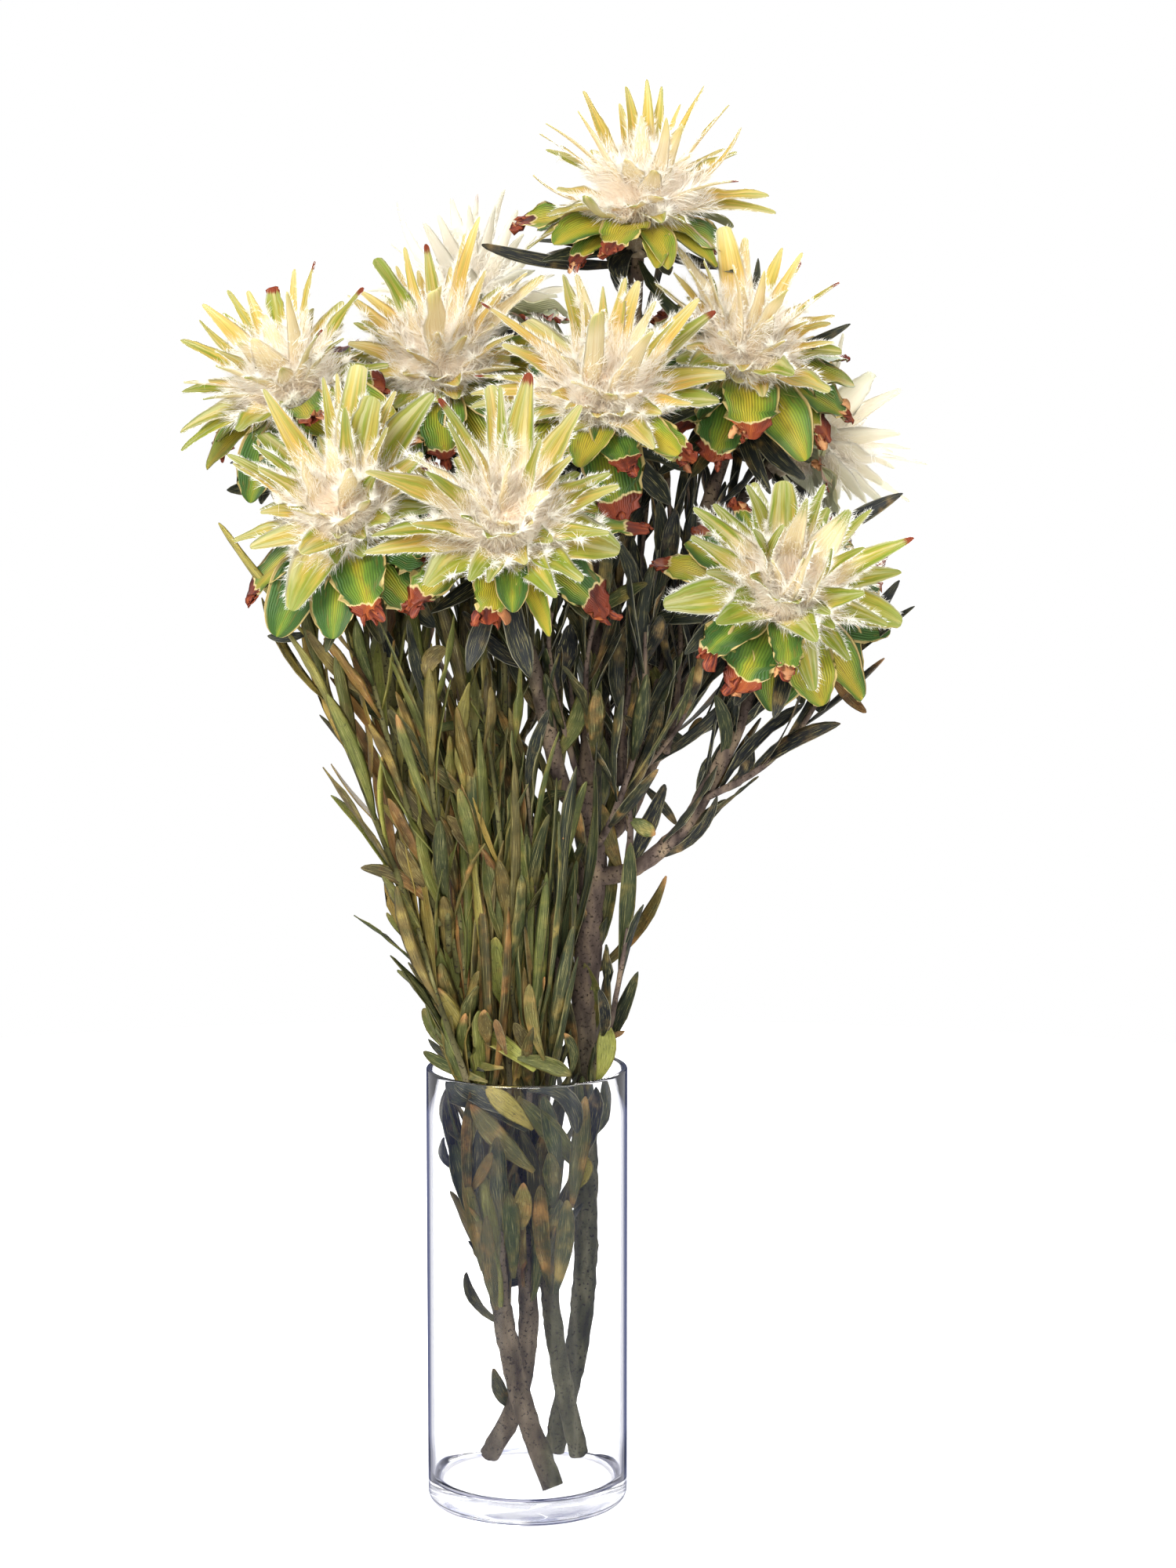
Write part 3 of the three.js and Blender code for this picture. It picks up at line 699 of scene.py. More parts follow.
def bract_material():
    """Air-dried felted bract: papery, matt, with parallel veins, a white rim and felt at its root.

    The felt gives the soft peach-cream middle of the head, the bare blade shows yellow and green stripes
    with fine orange-brown veins, and light comes through it as through paper. The veins come from noise
    with cells of about 0.5 mm across a bract.
    """
    tree = Tree(bpy.data.materials.new("dried_felted_bract"))
    add = tree.add
    along, across, lift = tree.field("place")
    tint, rust, felt = tree.field("nature")
    green, pale = tree.field("bloom")[:2]
    beyond = add("absolute", across)
    seed = add("multiply", tint, 31.0)
    stripe = lengthwise(tree, across, along, seed, 2.4, 1.3, 5.0)
    vein = lengthwise(tree, across, along, seed, 12.0, 1.2, 4.0)
    wander = add("add", along, add("multiply", add("subtract", stripe, 0.5), 0.5))
    yellow = add(
        "ramp",
        wander,
        [(0.0, "F0DCB0"), (0.3, "EBD090"), (0.5, "DFB960"), (0.75, "DFC570"), (1.0, "E8DDA4")],
    )
    leafy = add(
        "ramp",
        wander,
        [(0.0, "E6D6A0"), (0.3, "C6C06C"), (0.5, "98A53A"), (0.75, "7C932E"), (1.0, "9AA850")],
    )
    bleached = lengthwise(tree, across, along, add("add", seed, 9.0), 2.6, 0.9, 2.0)
    striped = add("add", stripe, add("multiply", add("subtract", green, 0.5), 0.42))
    striped = add("add", striped, add("multiply", add("subtract", beyond, 0.5), 0.1))
    blade = add("mix", add("step", striped, 0.22, 0.82), yellow, leafy)
    blade = add("mix", add("multiply", add("step", bleached, 0.46, 0.66), 0.4), blade, "F0E8C6")
    blade = add("mix", add("multiply", add("step", vein, 0.5, 0.64), 0.38), blade, "94752E")
    back = add("step", lift, 0.1, -0.25)
    felted = add("step", add("subtract", felt, wander), -0.16, 0.14)
    cover = add("maximum", felted, add("multiply", back, add("step", along, 1.0, 0.7)))
    felt_colour = add("ramp", vein, [(0.3, "E4D2A6"), (0.5, "EDE0BC"), (0.7, "F5EDD2")])
    # painted light: the felt is near-white towards the root, to lift the shade in the middle of the head
    felt_colour = add("mix", add("step", along, 0.35, 0.05), felt_colour, "FFF2DE")
    blade = add("mix", cover, blade, felt_colour)
    crease = add("multiply", add("step", beyond, 0.45, 0.7), add("step", along, 0.5, 0.15))
    stain = add("multiply", add("step", stripe, 0.54, 0.64), 0.6)
    blade = add("mix", add("multiply", crease, stain), blade, "CF9650")
    rim = add("multiply", add("step", beyond, 0.84, 1.0), 0.7)
    blade = add("mix", rim, blade, "FCF8EC")
    frayed = add("add", along, add("multiply", add("subtract", vein, 0.5), 0.16))
    burnt = add("multiply", rust, add("step", frayed, 0.9, 0.94))
    blade = add("mix", burnt, blade, add("ramp", vein, [(0.3, "B65E3C"), (0.7, "6E2C20")]))
    # painted light: the back heads' bracts are painted near-white for the glare that washes them out
    blade = add("mix", add("multiply", pale, 0.9), blade, "F6F4EE")
    shader = add("ShaderNodeBsdfPrincipled", {"Base Color": blade, "Roughness": 0.7})
    shader.node.inputs["Specular IOR Level"].default_value = 0.3
    grain = add("ShaderNodeBump", {"Strength": 0.6, "Distance": 0.0006, "Height": vein})
    tree.links.new(grain, shader.node.inputs["Normal"])
    through = add("ShaderNodeBsdfTranslucent", {"Color": blade})
    mixed = add("ShaderNodeMixShader", {0: 0.5, 1: shader, 2: through})
    return tree.done(mixed)


VEIN_TURNS = 10  # veins over half of a green bract's width, about 1.5 mm apart on the widest


def outer_bract_material():
    """Air-dried green bract: leathery and slightly waxed by the preserving, with raised parallel veins.

    Its middle stays yellow-green, its flanks deep green, its rim is a pale line and its torn papery end
    has dried to red-brown. The veins are about 1.5 mm apart on the widest.
    """
    tree = Tree(bpy.data.materials.new("dried_green_bract"))
    add = tree.add
    along, across, lift = tree.field("place")
    tint, rust = tree.field("nature")[:2]
    pale = tree.field("bloom")[1]
    beyond = add("absolute", across)
    seed = add("multiply", tint, 17.0)
    stripe = lengthwise(tree, across, along, seed, 1.4, 2.0, 2.0)
    bend = add("multiply", stripe, 5.0)
    vein = add("sine", add("add", add("multiply", across, VEIN_TURNS * math.tau), bend))
    depth = add("add", beyond, add("multiply", add("subtract", stripe, 0.5), 1.5))
    depth = add("add", depth, add("multiply", add("subtract", tint, 0.45), 0.9))
    blade = add("ramp", depth, [(0.0, "C8B438"), (0.3, "A6A832"), (0.6, "769432"), (1.0, "42682A")])
    blade = add("mix", add("multiply", add("step", vein, 0.1, 0.9), 0.5), blade, "34461A")
    fleck = lengthwise(tree, across, along, seed, 7.0, 5.0, 3.0)
    blade = add("mix", add("multiply", add("step", fleck, 0.55, 0.7), 0.4), blade, "8A6A2E")
    blade = add("mix", add("multiply", add("step", along, 0.4, 0.05), 0.6), blade, "D6C078")
    rim = add("step", beyond, 0.87, 0.95)
    blade = add("mix", add("multiply", rim, 0.8), blade, "E3C47E")
    blade = add("mix", add("step", lift, 0.1, -0.2), blade, "8C8F45")
    edge = add("add", along, add("multiply", add("subtract", stripe, 0.5), 0.3))
    shifted = add("add", edge, add("multiply", rust, 0.18))
    dried = add("greater_than", rust, 0.05)
    line = add("multiply", dried, add("step", shifted, 0.95, 0.965))
    blade = add("mix", line, blade, "DEC98E")
    burnt = add("multiply", dried, add("step", shifted, 0.97, 0.985))
    blade = add("mix", burnt, blade, add("ramp", stripe, [(0.3, "B8622E"), (0.5, "8C3A1E"), (0.7, "4E1A10")]))
    # painted light: the back heads' green bracts are painted paler for the same glare
    blade = add("mix", add("multiply", pale, 0.5), blade, "F0EBD2")
    shader = add("ShaderNodeBsdfPrincipled", {"Base Color": blade, "Roughness": 0.45})
    grain = add("ShaderNodeBump", {"Strength": 0.5, "Distance": 0.0006, "Height": vein})
    tree.links.new(grain, shader.node.inputs["Normal"])
    through = add("ShaderNodeBsdfTranslucent", {"Color": blade})
    mixed = add("ShaderNodeMixShader", {0: 0.28, 1: shader, 2: through})
    return tree.done(mixed)


def fringe_material():
    """Torn ends of the outer bracts: brittle red-brown paper, thin enough to glow where light is behind."""
    tree = Tree(bpy.data.materials.new("dried_bract_fringe"))
    add = tree.add
    along, across = tree.field("place")[:2]
    tint = tree.field("nature")[0]
    cloud = lengthwise(tree, across, along, add("multiply", tint, 40.0), 5.0, 2.0, 4.0)
    colour = add("ramp", cloud, [(0.3, "B4602E"), (0.5, "84341C"), (0.7, "46160E")])
    colour = add("mix", add("step", tint, 0.7, 0.9), colour, "D9A06A")
    shader = add("ShaderNodeBsdfPrincipled", {"Base Color": colour, "Roughness": 0.6})
    through = add("ShaderNodeBsdfTranslucent", {"Color": colour})
    mixed = add("ShaderNodeMixShader", {0: 0.3, 1: shader, 2: through})
    return tree.done(mixed)


def wool_material():
    """Bract wool: silky white hairs that go cream and peach towards the boss, and let light through."""
    tree = Tree(bpy.data.materials.new("silky_bract_wool"))
    add = tree.add
    warm, dark = tree.field("shade")[:2]
    colour = add("mix", warm, tuple(settings().wool_colour), "FFF0DA")
    # painted shade: the dark share turns the wool under the boss grey-brown, for the shade under the head
    colour = add("mix", dark, colour, "AD9A7E")
    shader = add("ShaderNodeBsdfPrincipled", {"Base Color": colour, "Roughness": 0.6})
    shader.node.inputs["Specular IOR Level"].default_value = 0.2
    through = add("ShaderNodeBsdfTranslucent", {"Color": colour})
    mixed = add("ShaderNodeMixShader", {0: 0.55, 1: shader, 2: through})
    return tree.done(mixed)


def boss_material():
    """Receptacle: a woody cone under short dense felt, peach-cream on top and grey-brown beneath. The
    near-white top is painted light against the shade in the head's middle, and the grey-brown beneath is
    painted shade under the head over the cone's woody colour.
    """
    tree = Tree(bpy.data.materials.new("felted_receptacle"))
    add = tree.add
    along = tree.field("place")[0]
    spot = add("ShaderNodeTexCoord", out="Object")
    grain = add("noise", spot, 600.0, 3.0)
    # painted shade and light: from the woody foot through grey-brown, painted shade under the head, to a
    # near-white top painted lighter against the shade in the head's middle
    colour = add(
        "ramp",
        along,
        [(0.0, "5D4C3A"), (0.25, "9A8668"), (0.45, "DCC8A6"), (0.65, "FCEACC"), (1.0, "FFF0D8")],
    )
    colour = add("mix", add("multiply", grain, 0.5), colour, "F2E3CB")
    shader = add("ShaderNodeBsdfPrincipled", {"Base Color": colour, "Roughness": 0.95})
    bump = add("ShaderNodeBump", {"Strength": 0.5, "Distance": 0.0008, "Height": grain})
    tree.links.new(bump, shader.node.inputs["Normal"])
    return tree.done(shader)


# The boss's outline: out from the head's axis and along it, mm.
BOSS_PROFILE = (
    (5, -30.2), (6, -26), (7, -21), (8.5, -16), (10.5, -11), (12, -6),
    (12.3, -2), (11, 2), (8, 5.2), (4, 7.2), (1.5, 7.8),
)
BOSS_TIP = 8 * MM  # its pole, just over the last ring
BOSS_SIDES = 40


def boss_mesh(head, rng):
    """The receptacle and its boss: a profile turned round the head's axis, roughened by sine lobes."""
    profile = np.array(BOSS_PROFILE) * MM
    turn = math.tau * np.arange(BOSS_SIDES) / BOSS_SIDES
    first, second = across_axes(head.axis)
    radius = profile[:, 0][:, None] * (1 + 0.06 * np.sin(turn * 7 + rng.uniform(0, 6)))
    ring = first * np.cos(turn)[:, None] + second * np.sin(turn)[:, None]
    rings = head.middle + radius[..., None] * ring[None] + profile[:, 1][:, None, None] * head.axis
    poles = [head.middle + head.axis * height for height in (profile[0, 1], BOSS_TIP)]
    points = np.concatenate([[poles[0]], rings.reshape(-1, 3), [poles[1]]])
    share = np.repeat(np.linspace(0, 1, len(profile)), BOSS_SIDES)
    place = np.zeros((len(points), 3))
    place[1:-1, 0] = share
    place[-1, 0] = 1
    return make_mesh("boss", points, *tube_faces(1, len(profile), BOSS_SIDES), {"place": place})


# How many a bract has: bunches along its edges, hairs at its root, hairs in a white tuft, torn flakes.
TUFTS = 16
CENTRE_HAIRS = 330
TUFT_HAIRS = 110
FLAKES = 3
TUFTED_SHARE = 0.75  # of the bracts carry a white tuft


def edge_hairs(blades, rng):
    """Hairs along the bracts' edges in loose tufts, and across the ends of woolly tips."""
    count, most = len(blades["width"]), int(blades["hairs"].max())
    rows = np.arange(count)[:, None]
    middles = rng.beta(1.0, 1.2, (count, TUFTS)) * 0.96
    sides = np.where(rng.uniform(size=middles.shape) < 0.5, -1.0, 1.0)
    lush = rng.uniform(0.5, 1.6, middles.shape)
    which = rng.integers(0, TUFTS, (count, most))
    loose = rng.uniform(size=which.shape) < 0.6
    anywhere = rng.uniform(0, 1, which.shape)
    bunched = middles[rows, which] + rng.normal(0, 0.018, which.shape)
    along = np.where(loose, anywhere, bunched)
    along = np.clip(along, 0.02, 0.995)
    across = sides[rows, which]
    tufted = (blades["tuft"][:, None] > 0) & (rng.uniform(size=along.shape) < 0.4)
    along = np.where(tufted, rng.uniform(0.8, 1.0, along.shape), along)
    across = np.where(tufted, rng.uniform(-1, 1, along.shape), across)
    points, flat, normal, tangent = blade_surface(blades, along, across, np.zeros_like(along))
    spread = rng.normal(size=points.shape) * 0.25
    ways = unit(flat * across[..., None] * 0.55 + tangent * 0.8 + normal * 0.15 + spread)
    lengths = rng.uniform(1.5, 5.5, along.shape) * MM * (1.2 - 0.65 * along + 0.7 * tufted)
    lengths = lengths * np.where(loose, 0.7, lush[rows, which])
    shades = np.stack([np.clip(0.75 - along * 1.6, 0, 1), 0 * along, 0 * along], -1)
    used = np.arange(most)[None, :] < blades["hairs"][:, None]
    return points[used], ways[used], lengths[used], shades[used]


def felt_hairs(blades, rng):
    """Short hairs that lean along the felted part of each bract, on both of its sides."""
    count, most = len(blades["width"]), int(blades["fluff"].max())
    along = rng.uniform(0.0, 1.0, (count, most)) * np.minimum(blades["felt"] * 1.15, 0.85)[:, None] + 0.03
    across = rng.uniform(-0.95, 0.95, along.shape)
    lift = np.where(rng.uniform(size=along.shape) < 0.5, -1.0, 1.0)
    points, _, normal, tangent = blade_surface(blades, along, across, lift)
    ways = unit(tangent + normal * lift[..., None] * 0.35 + rng.normal(size=points.shape) * 0.2)
    lengths = rng.uniform(1.8, 4.6, along.shape) * MM
    shades = np.stack([np.clip(0.9 - along, 0, 1), 0 * along, 0 * along], -1)
    used = np.arange(most)[None, :] < blades["fluff"][:, None]
    return points[used], ways[used], lengths[used], shades[used]


def centre_wool(head, blades, rng):
    """Long soft hairs from the roots of the bracts, away from the middle of the head."""
    count = len(blades["width"])
    along = rng.uniform(0.02, 0.45, (count, CENTRE_HAIRS))
    across = rng.uniform(-1, 1, along.shape)
    lift = np.where(rng.uniform(size=along.shape) < 0.5, -1.0, 1.0)
    points, _, normal, tangent = blade_surface(blades, along, across, lift)
    out = unit(points - head.middle + head.axis * 6 * MM)
    spread = rng.normal(size=points.shape) * 0.3
    ways = unit(out * 0.5 + tangent * 0.6 + normal * lift[..., None] * 0.5 + spread)
    lengths = rng.uniform(4, 13, along.shape) * MM * (1.15 - along)
    shades = np.stack([np.clip(0.8 - along * 1.8, 0, 1), 0 * along, 0 * along], -1)
    return tuple(values.reshape(-1, *values.shape[2:]) for values in (points, ways, lengths, shades))


def tufts(blades, rng):
    """White tufts that stand out from the bracts' edges, each a spray of hairs from one place."""
    count = len(blades["width"])
    along = rng.uniform(0.22, 0.8, (count, 1))
    across = np.where(rng.uniform(size=along.shape) < 0.5, -1.0, 1.0)
    along, across = (np.repeat(values, TUFT_HAIRS, axis=1) for values in (along, across))
    along = np.clip(along + rng.normal(0, 0.02, along.shape), 0.02, 0.98)
    points, flat, normal, tangent = blade_surface(blades, along, across, np.zeros_like(along))
    spread = rng.normal(size=points.shape) * 0.4
    ways = unit(normal * 0.45 + flat * across[..., None] * 0.45 + tangent * 0.55 + spread)
    lengths = rng.uniform(2.5, 8.5, along.shape) * MM * rng.uniform(0.5, 1.25, (count, 1))
    shown = np.repeat(rng.uniform(size=(count, 1)) < TUFTED_SHARE, TUFT_HAIRS, axis=1)
    shades = np.zeros((*along.shape, 3))
    return points[shown], ways[shown], lengths[shown], shades[shown]


def boss_hairs(head, rng, count, low, high, reach, droop, dark):
    """Wool round the boss between two heights, pointing outwards and up or, with droop, down."""
    first, second = across_axes(head.axis)
    turn = rng.uniform(0, math.tau, count)
    height = rng.uniform(low, high, count) * MM
    profile = np.array(BOSS_PROFILE) * MM
    radius = np.interp(height, profile[:, 1], profile[:, 0])
    out = first * np.cos(turn)[:, None] + second * np.sin(turn)[:, None]
    roots = head.middle + head.axis * height[:, None] + out * radius[:, None] * 0.9
    ways = unit(out + head.axis * droop + rng.normal(size=out.shape) * 0.3)
    lengths = rng.uniform(0.5, 1.0, count) * reach * MM
    # painted shade: up to dark, it greys the hairs that hang under the boss, where the head shades them
    painted_shade = np.full(count, dark) * rng.uniform(0.3, 1, count)
    shades = np.stack([np.full(count, 0.8), painted_shade, height * 0], -1)
    return roots, ways, lengths, shades


def fringe_flakes(outer, rng):
    """Torn papery strips at the ends of the fringed bracts: narrow blades that curl away from the end."""
    fringed = {key: value[outer["tear"] > 0.3] for key, value in outer.items()}
    count = len(fringed["width"])
    along = rng.uniform(0.86, 0.97, (count, FLAKES))
    across = rng.uniform(-0.9, 0.9, along.shape)
    points, flat, normal, tangent = blade_surface(fringed, along, across, np.zeros_like(along))
    points, flat, normal, tangent = (values.reshape(-1, 3) for values in (points, flat, normal, tangent))
    size = rng.uniform(3, 8, (len(points), 1)) * MM
    lean = flat * across.reshape(-1, 1) * 0.6 + normal * rng.uniform(-0.25, 0.15, size.shape)
    ways = unit(tangent + lean + rng.normal(0, 0.1, points.shape))
    total = len(points)
    spread = {
        "base": points - tangent * 2 * MM,
        "tip": points + ways * size,
        "face": normal,
        "width": rng.uniform(2.5, 7, total) * MM,
        "belly": rng.uniform(0.3, 0.8, total),
        "tear": rng.uniform(0.1, 0.7, total),
        "root": np.full(total, 0.6),
        "point": rng.uniform(0.05, 0.7, total),
        "sharp": rng.uniform(0.8, 2.5, total),
        "cup": rng.uniform(-0.4, 0.5, total),
        "bow": rng.uniform(-0.25, 0.25, total),
        "thick": np.full(total, 0.35 * MM),
        "tint": rng.uniform(size=total),
        "rust": np.full(total, 5.0),
        "twist": rng.uniform(-1.2, 1.2, total),
        "phase": rng.uniform(size=total),
        "ripple": rng.uniform(0, 0.6, total),
    }
    plain = {key: np.full(total, value) for key, value in BLADE_DEFAULTS.items()}
    return plain | spread


HAIR_WIDTH = (0.14, 0.3)  # mm, drawn coarser than real wool so that it shows
WOOL_SHARE = {2: 0.7, 10: 0.7}  # less on the two heads that stand behind the others

# Each kind of hair's width as a multiple of HAIR_WIDTH.
EDGE_COARSE = 1.05
FELT_COARSE = 0.9
CENTRE_COARSE = 1.8
TUFT_COARSE = 1.4
BOSS_COARSE = 1.5
UNDER_COARSE = 1.6

# Wool on and under the boss: count, lowest and highest root, reach in mm, droop and painted shade, which
# greys the wool under the boss.
BOSS_WOOL = (9000, -2, 7.8, 13, 0.7, 0.0)
UNDER_WOOL = (2000, -18, -9, 9, -0.25, 0.7)

# Rings along a blade and corners round it.
BRACT_GRID = (12, 8)
GREEN_BRACT_GRID = (17, 12)
FLAKE_GRID = (6, 4)
COLLAR_GRID = (10, 8)


def build_head(number):
    """All the pieces of one flower head."""
    head = HEADS[number]
    rng = np.random.default_rng(SEED * 100 + number)
    made = filled_bracts(head, listed_bracts(head, rng), rng)
    inner = stacked([values for kind in ("crown", "scale", "inner", "mid", "low") for values in made[kind]])
    outer = stacked(made["outer"])
    name = f"head_{number}"
    mesh = blade_mesh(f"inner_{number}", inner, *BRACT_GRID)
    skin = shared(bract_material)
    place_piece(f"{name}_inner_bracts", mesh, skin, [f"inner_bracts_{number}"])
    mesh = blade_mesh(f"outer_{number}", outer, *GREEN_BRACT_GRID)
    flakes = fringe_flakes(outer, rng)
    torn = blade_mesh(f"fringe_{number}", flakes, *FLAKE_GRID)
    place_piece(f"{name}_bract_fringe", torn, shared(fringe_material), [])
    skin = shared(outer_bract_material)
    place_piece(f"{name}_outer_bracts", mesh, skin, [f"outer_bracts_{number}"])
    mesh = boss_mesh(head, rng)
    place_piece(f"{name}_receptacle", mesh, shared(boss_material), [f"receptacle_{number}"])
    groups = (
        (EDGE_COARSE, edge_hairs(inner, rng)),
        (FELT_COARSE, felt_hairs(inner, rng)),
        (CENTRE_COARSE, centre_wool(head, inner, rng)),
        (TUFT_COARSE, tufts(inner, rng)),
        (BOSS_COARSE, boss_hairs(head, rng, *BOSS_WOOL)),
        (UNDER_COARSE, boss_hairs(head, rng, *UNDER_WOOL)),
    )
    roots, ways, lengths, shades = (np.concatenate(parts) for parts in zip(*(group for _, group in groups)))
    widths = np.concatenate([np.full(len(group[0]), coarse) for coarse, group in groups])
    widths = widths * rng.uniform(*HAIR_WIDTH, len(roots)) * MM
    kept = rng.uniform(size=len(roots)) < settings().wool * WOOL_SHARE.get(number, 1.0)
    roots, ways, lengths, shades, widths = (part[kept] for part in (roots, ways, lengths, shades, widths))
    mesh = hair_mesh(f"wool_{number}", roots, ways, lengths, widths, shades, rng)
    place_piece(f"{name}_wool", mesh, shared(wool_material), [])
    mesh = blade_mesh(f"collar_{number}", stacked(collar_leaves(head, rng)), *COLLAR_GRID)
    place_piece(f"{name}_collar_leaves", mesh, shared(leaf_material), [])


def collar_leaves(head, rng):
    """Leaves that stand round the stem just under a head's outer bracts, level or a little raised."""
    first, second = across_axes(head.axis)
    count = settings().collar_leaves
    made = []
    for step in range(count):
        turn = step * math.tau / count + rng.uniform(-0.25, 0.25)
        rise = math.radians(rng.uniform(-28, 6))
        out = first * math.cos(turn) + second * math.sin(turn)
        way = out * math.cos(rise) + head.axis * math.sin(rise)
        base = head.middle - head.axis * rng.uniform(24, 32) * MM
        tip = base + way * rng.uniform(44, 60) * MM
        row = leaf(base, tip, rng.uniform(8, 12), rng.uniform(-0.1, 0.1), rng.uniform(0, 0.35), 0.1, 0.0, rng)
        made.append({**row, "face": head.axis})
    return made


class BOUQUET_OT_heads(bpy.types.Operator):
    """Builds the ten flower heads"""

    bl_idname = "bouquet.heads"
    bl_label = "Flower heads"

    def execute(self, context):
        for number in HEADS:
            build_head(number)
        return {"FINISHED"}


PARENTS = {
    "stem_left": "",
    "stem_crossing": "",
    "stem_green": "",
    "stem_trunk": "",
    "branch_leader": "stem_trunk",
    "branch_front": "stem_trunk",
    "branch_right": "stem_trunk",
    "branch_back_right": "stem_trunk",
    "branch_upper_right": "stem_trunk",
    "branch_top": "stem_trunk",
    "branch_back": "stem_green",
}
STEM_SIDES = 8
RING_GAP = 3 * MM
LINE_STEP = 4 * MM

# The side shoots that the frame has: points along each stalk, in mm.
TWIGS = {
    1: ((-32, -12, 247), (-50, -30, 290), (-72, -40, 350), (-92, -44, 405), (-103, -42, 440)),
    2: ((-22, 2, 262), (-40, 20, 305), (-66, 26, 360), (-88, 30, 430), (-106, 36, 470)),
    3: ((-38, -14, 275), (-38, -40, 315), (-44, -56, 370), (-46, -62, 420)),
    4: ((-4, 11, 250), (-8, -12, 285), (-16, -30, 330), (-26, -42, 390), (-30, -50, 425)),
    5: ((31, 8, 295), (14, -16, 325), (-4, -26, 365), (-14, -36, 408)),
    6: ((32, 4, 326), (44, -22, 352), (56, -36, 395), (58, -40, 440)),
    7: ((84, -7, 354), (112, -30, 372), (132, -32, 392), (150, -20, 420)),
    8: ((60, 34, 367), (92, 40, 390), (116, 46, 430), (132, 46, 470)),
    9: ((-10, 46, 366), (6, 70, 400), (14, 90, 450), (18, 104, 505)),
    10: ((-22, -10, 188), (-31, -25, 225), (-43, -33, 262), (-52, -36, 296)),
    11: ((6, 8, 192), (-2, -16, 232), (-8, -28, 270), (-12, -34, 305)),
    12: ((29, 19, 206), (40, 2, 236), (46, -8, 268), (50, -12, 292)),
    13: ((-35, 3, 323), (-40, 30, 350), (-52, 56, 400), (-66, 76, 460)),
}

# More stalks as the picture shows them: pixels across and down, and mm towards the back.
SHOOTS = {
    "strap": (
        (
            (604, 1440, -8), (600, 1330, -14), (590, 1200, -24), (578, 1100, -34),
            (556, 980, -38), (532, 880, -38),
        ),
        (
            (622, 1440, -10), (622, 1330, -18), (617, 1200, -28), (606, 1090, -38),
            (590, 980, -44), (574, 880, -40),
        ),
        (
            (648, 1450, -6), (650, 1330, -18), (648, 1200, -30), (640, 1090, -40),
            (628, 980, -46), (612, 880, -46),
        ),
        ((672, 1450, -2), (680, 1330, -16), (682, 1200, -26), (680, 1100, -36), (672, 1000, -40)),
        ((690, 1450, 0), (704, 1330, -12), (712, 1220, -20), (716, 1110, -24)),
    ),
    "fine": (
        (
            (800, 1108, 0), (804, 1060, -8), (803, 1005, -12), (838, 962, -18),
            (872, 915, -24), (886, 860, -24),
        ),
        ((803, 1005, -12), (795, 940, -6), (786, 870, 0), (780, 800, 4)),
        ((770, 1020, 10), (776, 930, 24), (766, 850, 30), (757, 780, 30)),
        ((760, 1060, 12), (738, 960, 8), (728, 880, -10), (724, 800, -20)),
        ((560, 1180, -30), (528, 1060, -40), (494, 940, -44), (474, 860, -44), (462, 770, -40)),
        ((585, 1240, -20), (560, 1080, -26), (530, 950, -24), (512, 840, -20), (505, 760, -16)),
        ((803, 1060, -8), (812, 980, 6), (830, 900, 10), (850, 820, 14)),
        ((790, 1000, 0), (800, 900, -16), (815, 820, -24), (806, 750, -24)),
        ((850, 960, -18), (862, 900, 0), (868, 820, 6), (862, 760, 10)),
        ((765, 1010, -10), (750, 920, -30), (748, 850, -36), (760, 780, -36)),
        ((740, 1000, -10), (712, 900, -24), (700, 820, -30), (706, 770, -30)),
        ((610, 960, -30), (600, 880, -20), (586, 810, -16), (592, 750, -14)),
        ((640, 980, -30), (644, 880, -30), (640, 800, -24), (646, 750, -20)),
        ((790, 1000, 0), (818, 900, 14), (840, 790, 22), (854, 690, 28), (852, 610, 30)),
        ((803, 1005, -12), (850, 900, 16), (880, 790, 36), (886, 690, 44), (876, 610, 48)),
        ((790, 1000, 0), (796, 880, 40), (812, 760, 50), (824, 660, 54), (830, 600, 56)),
    ),
}

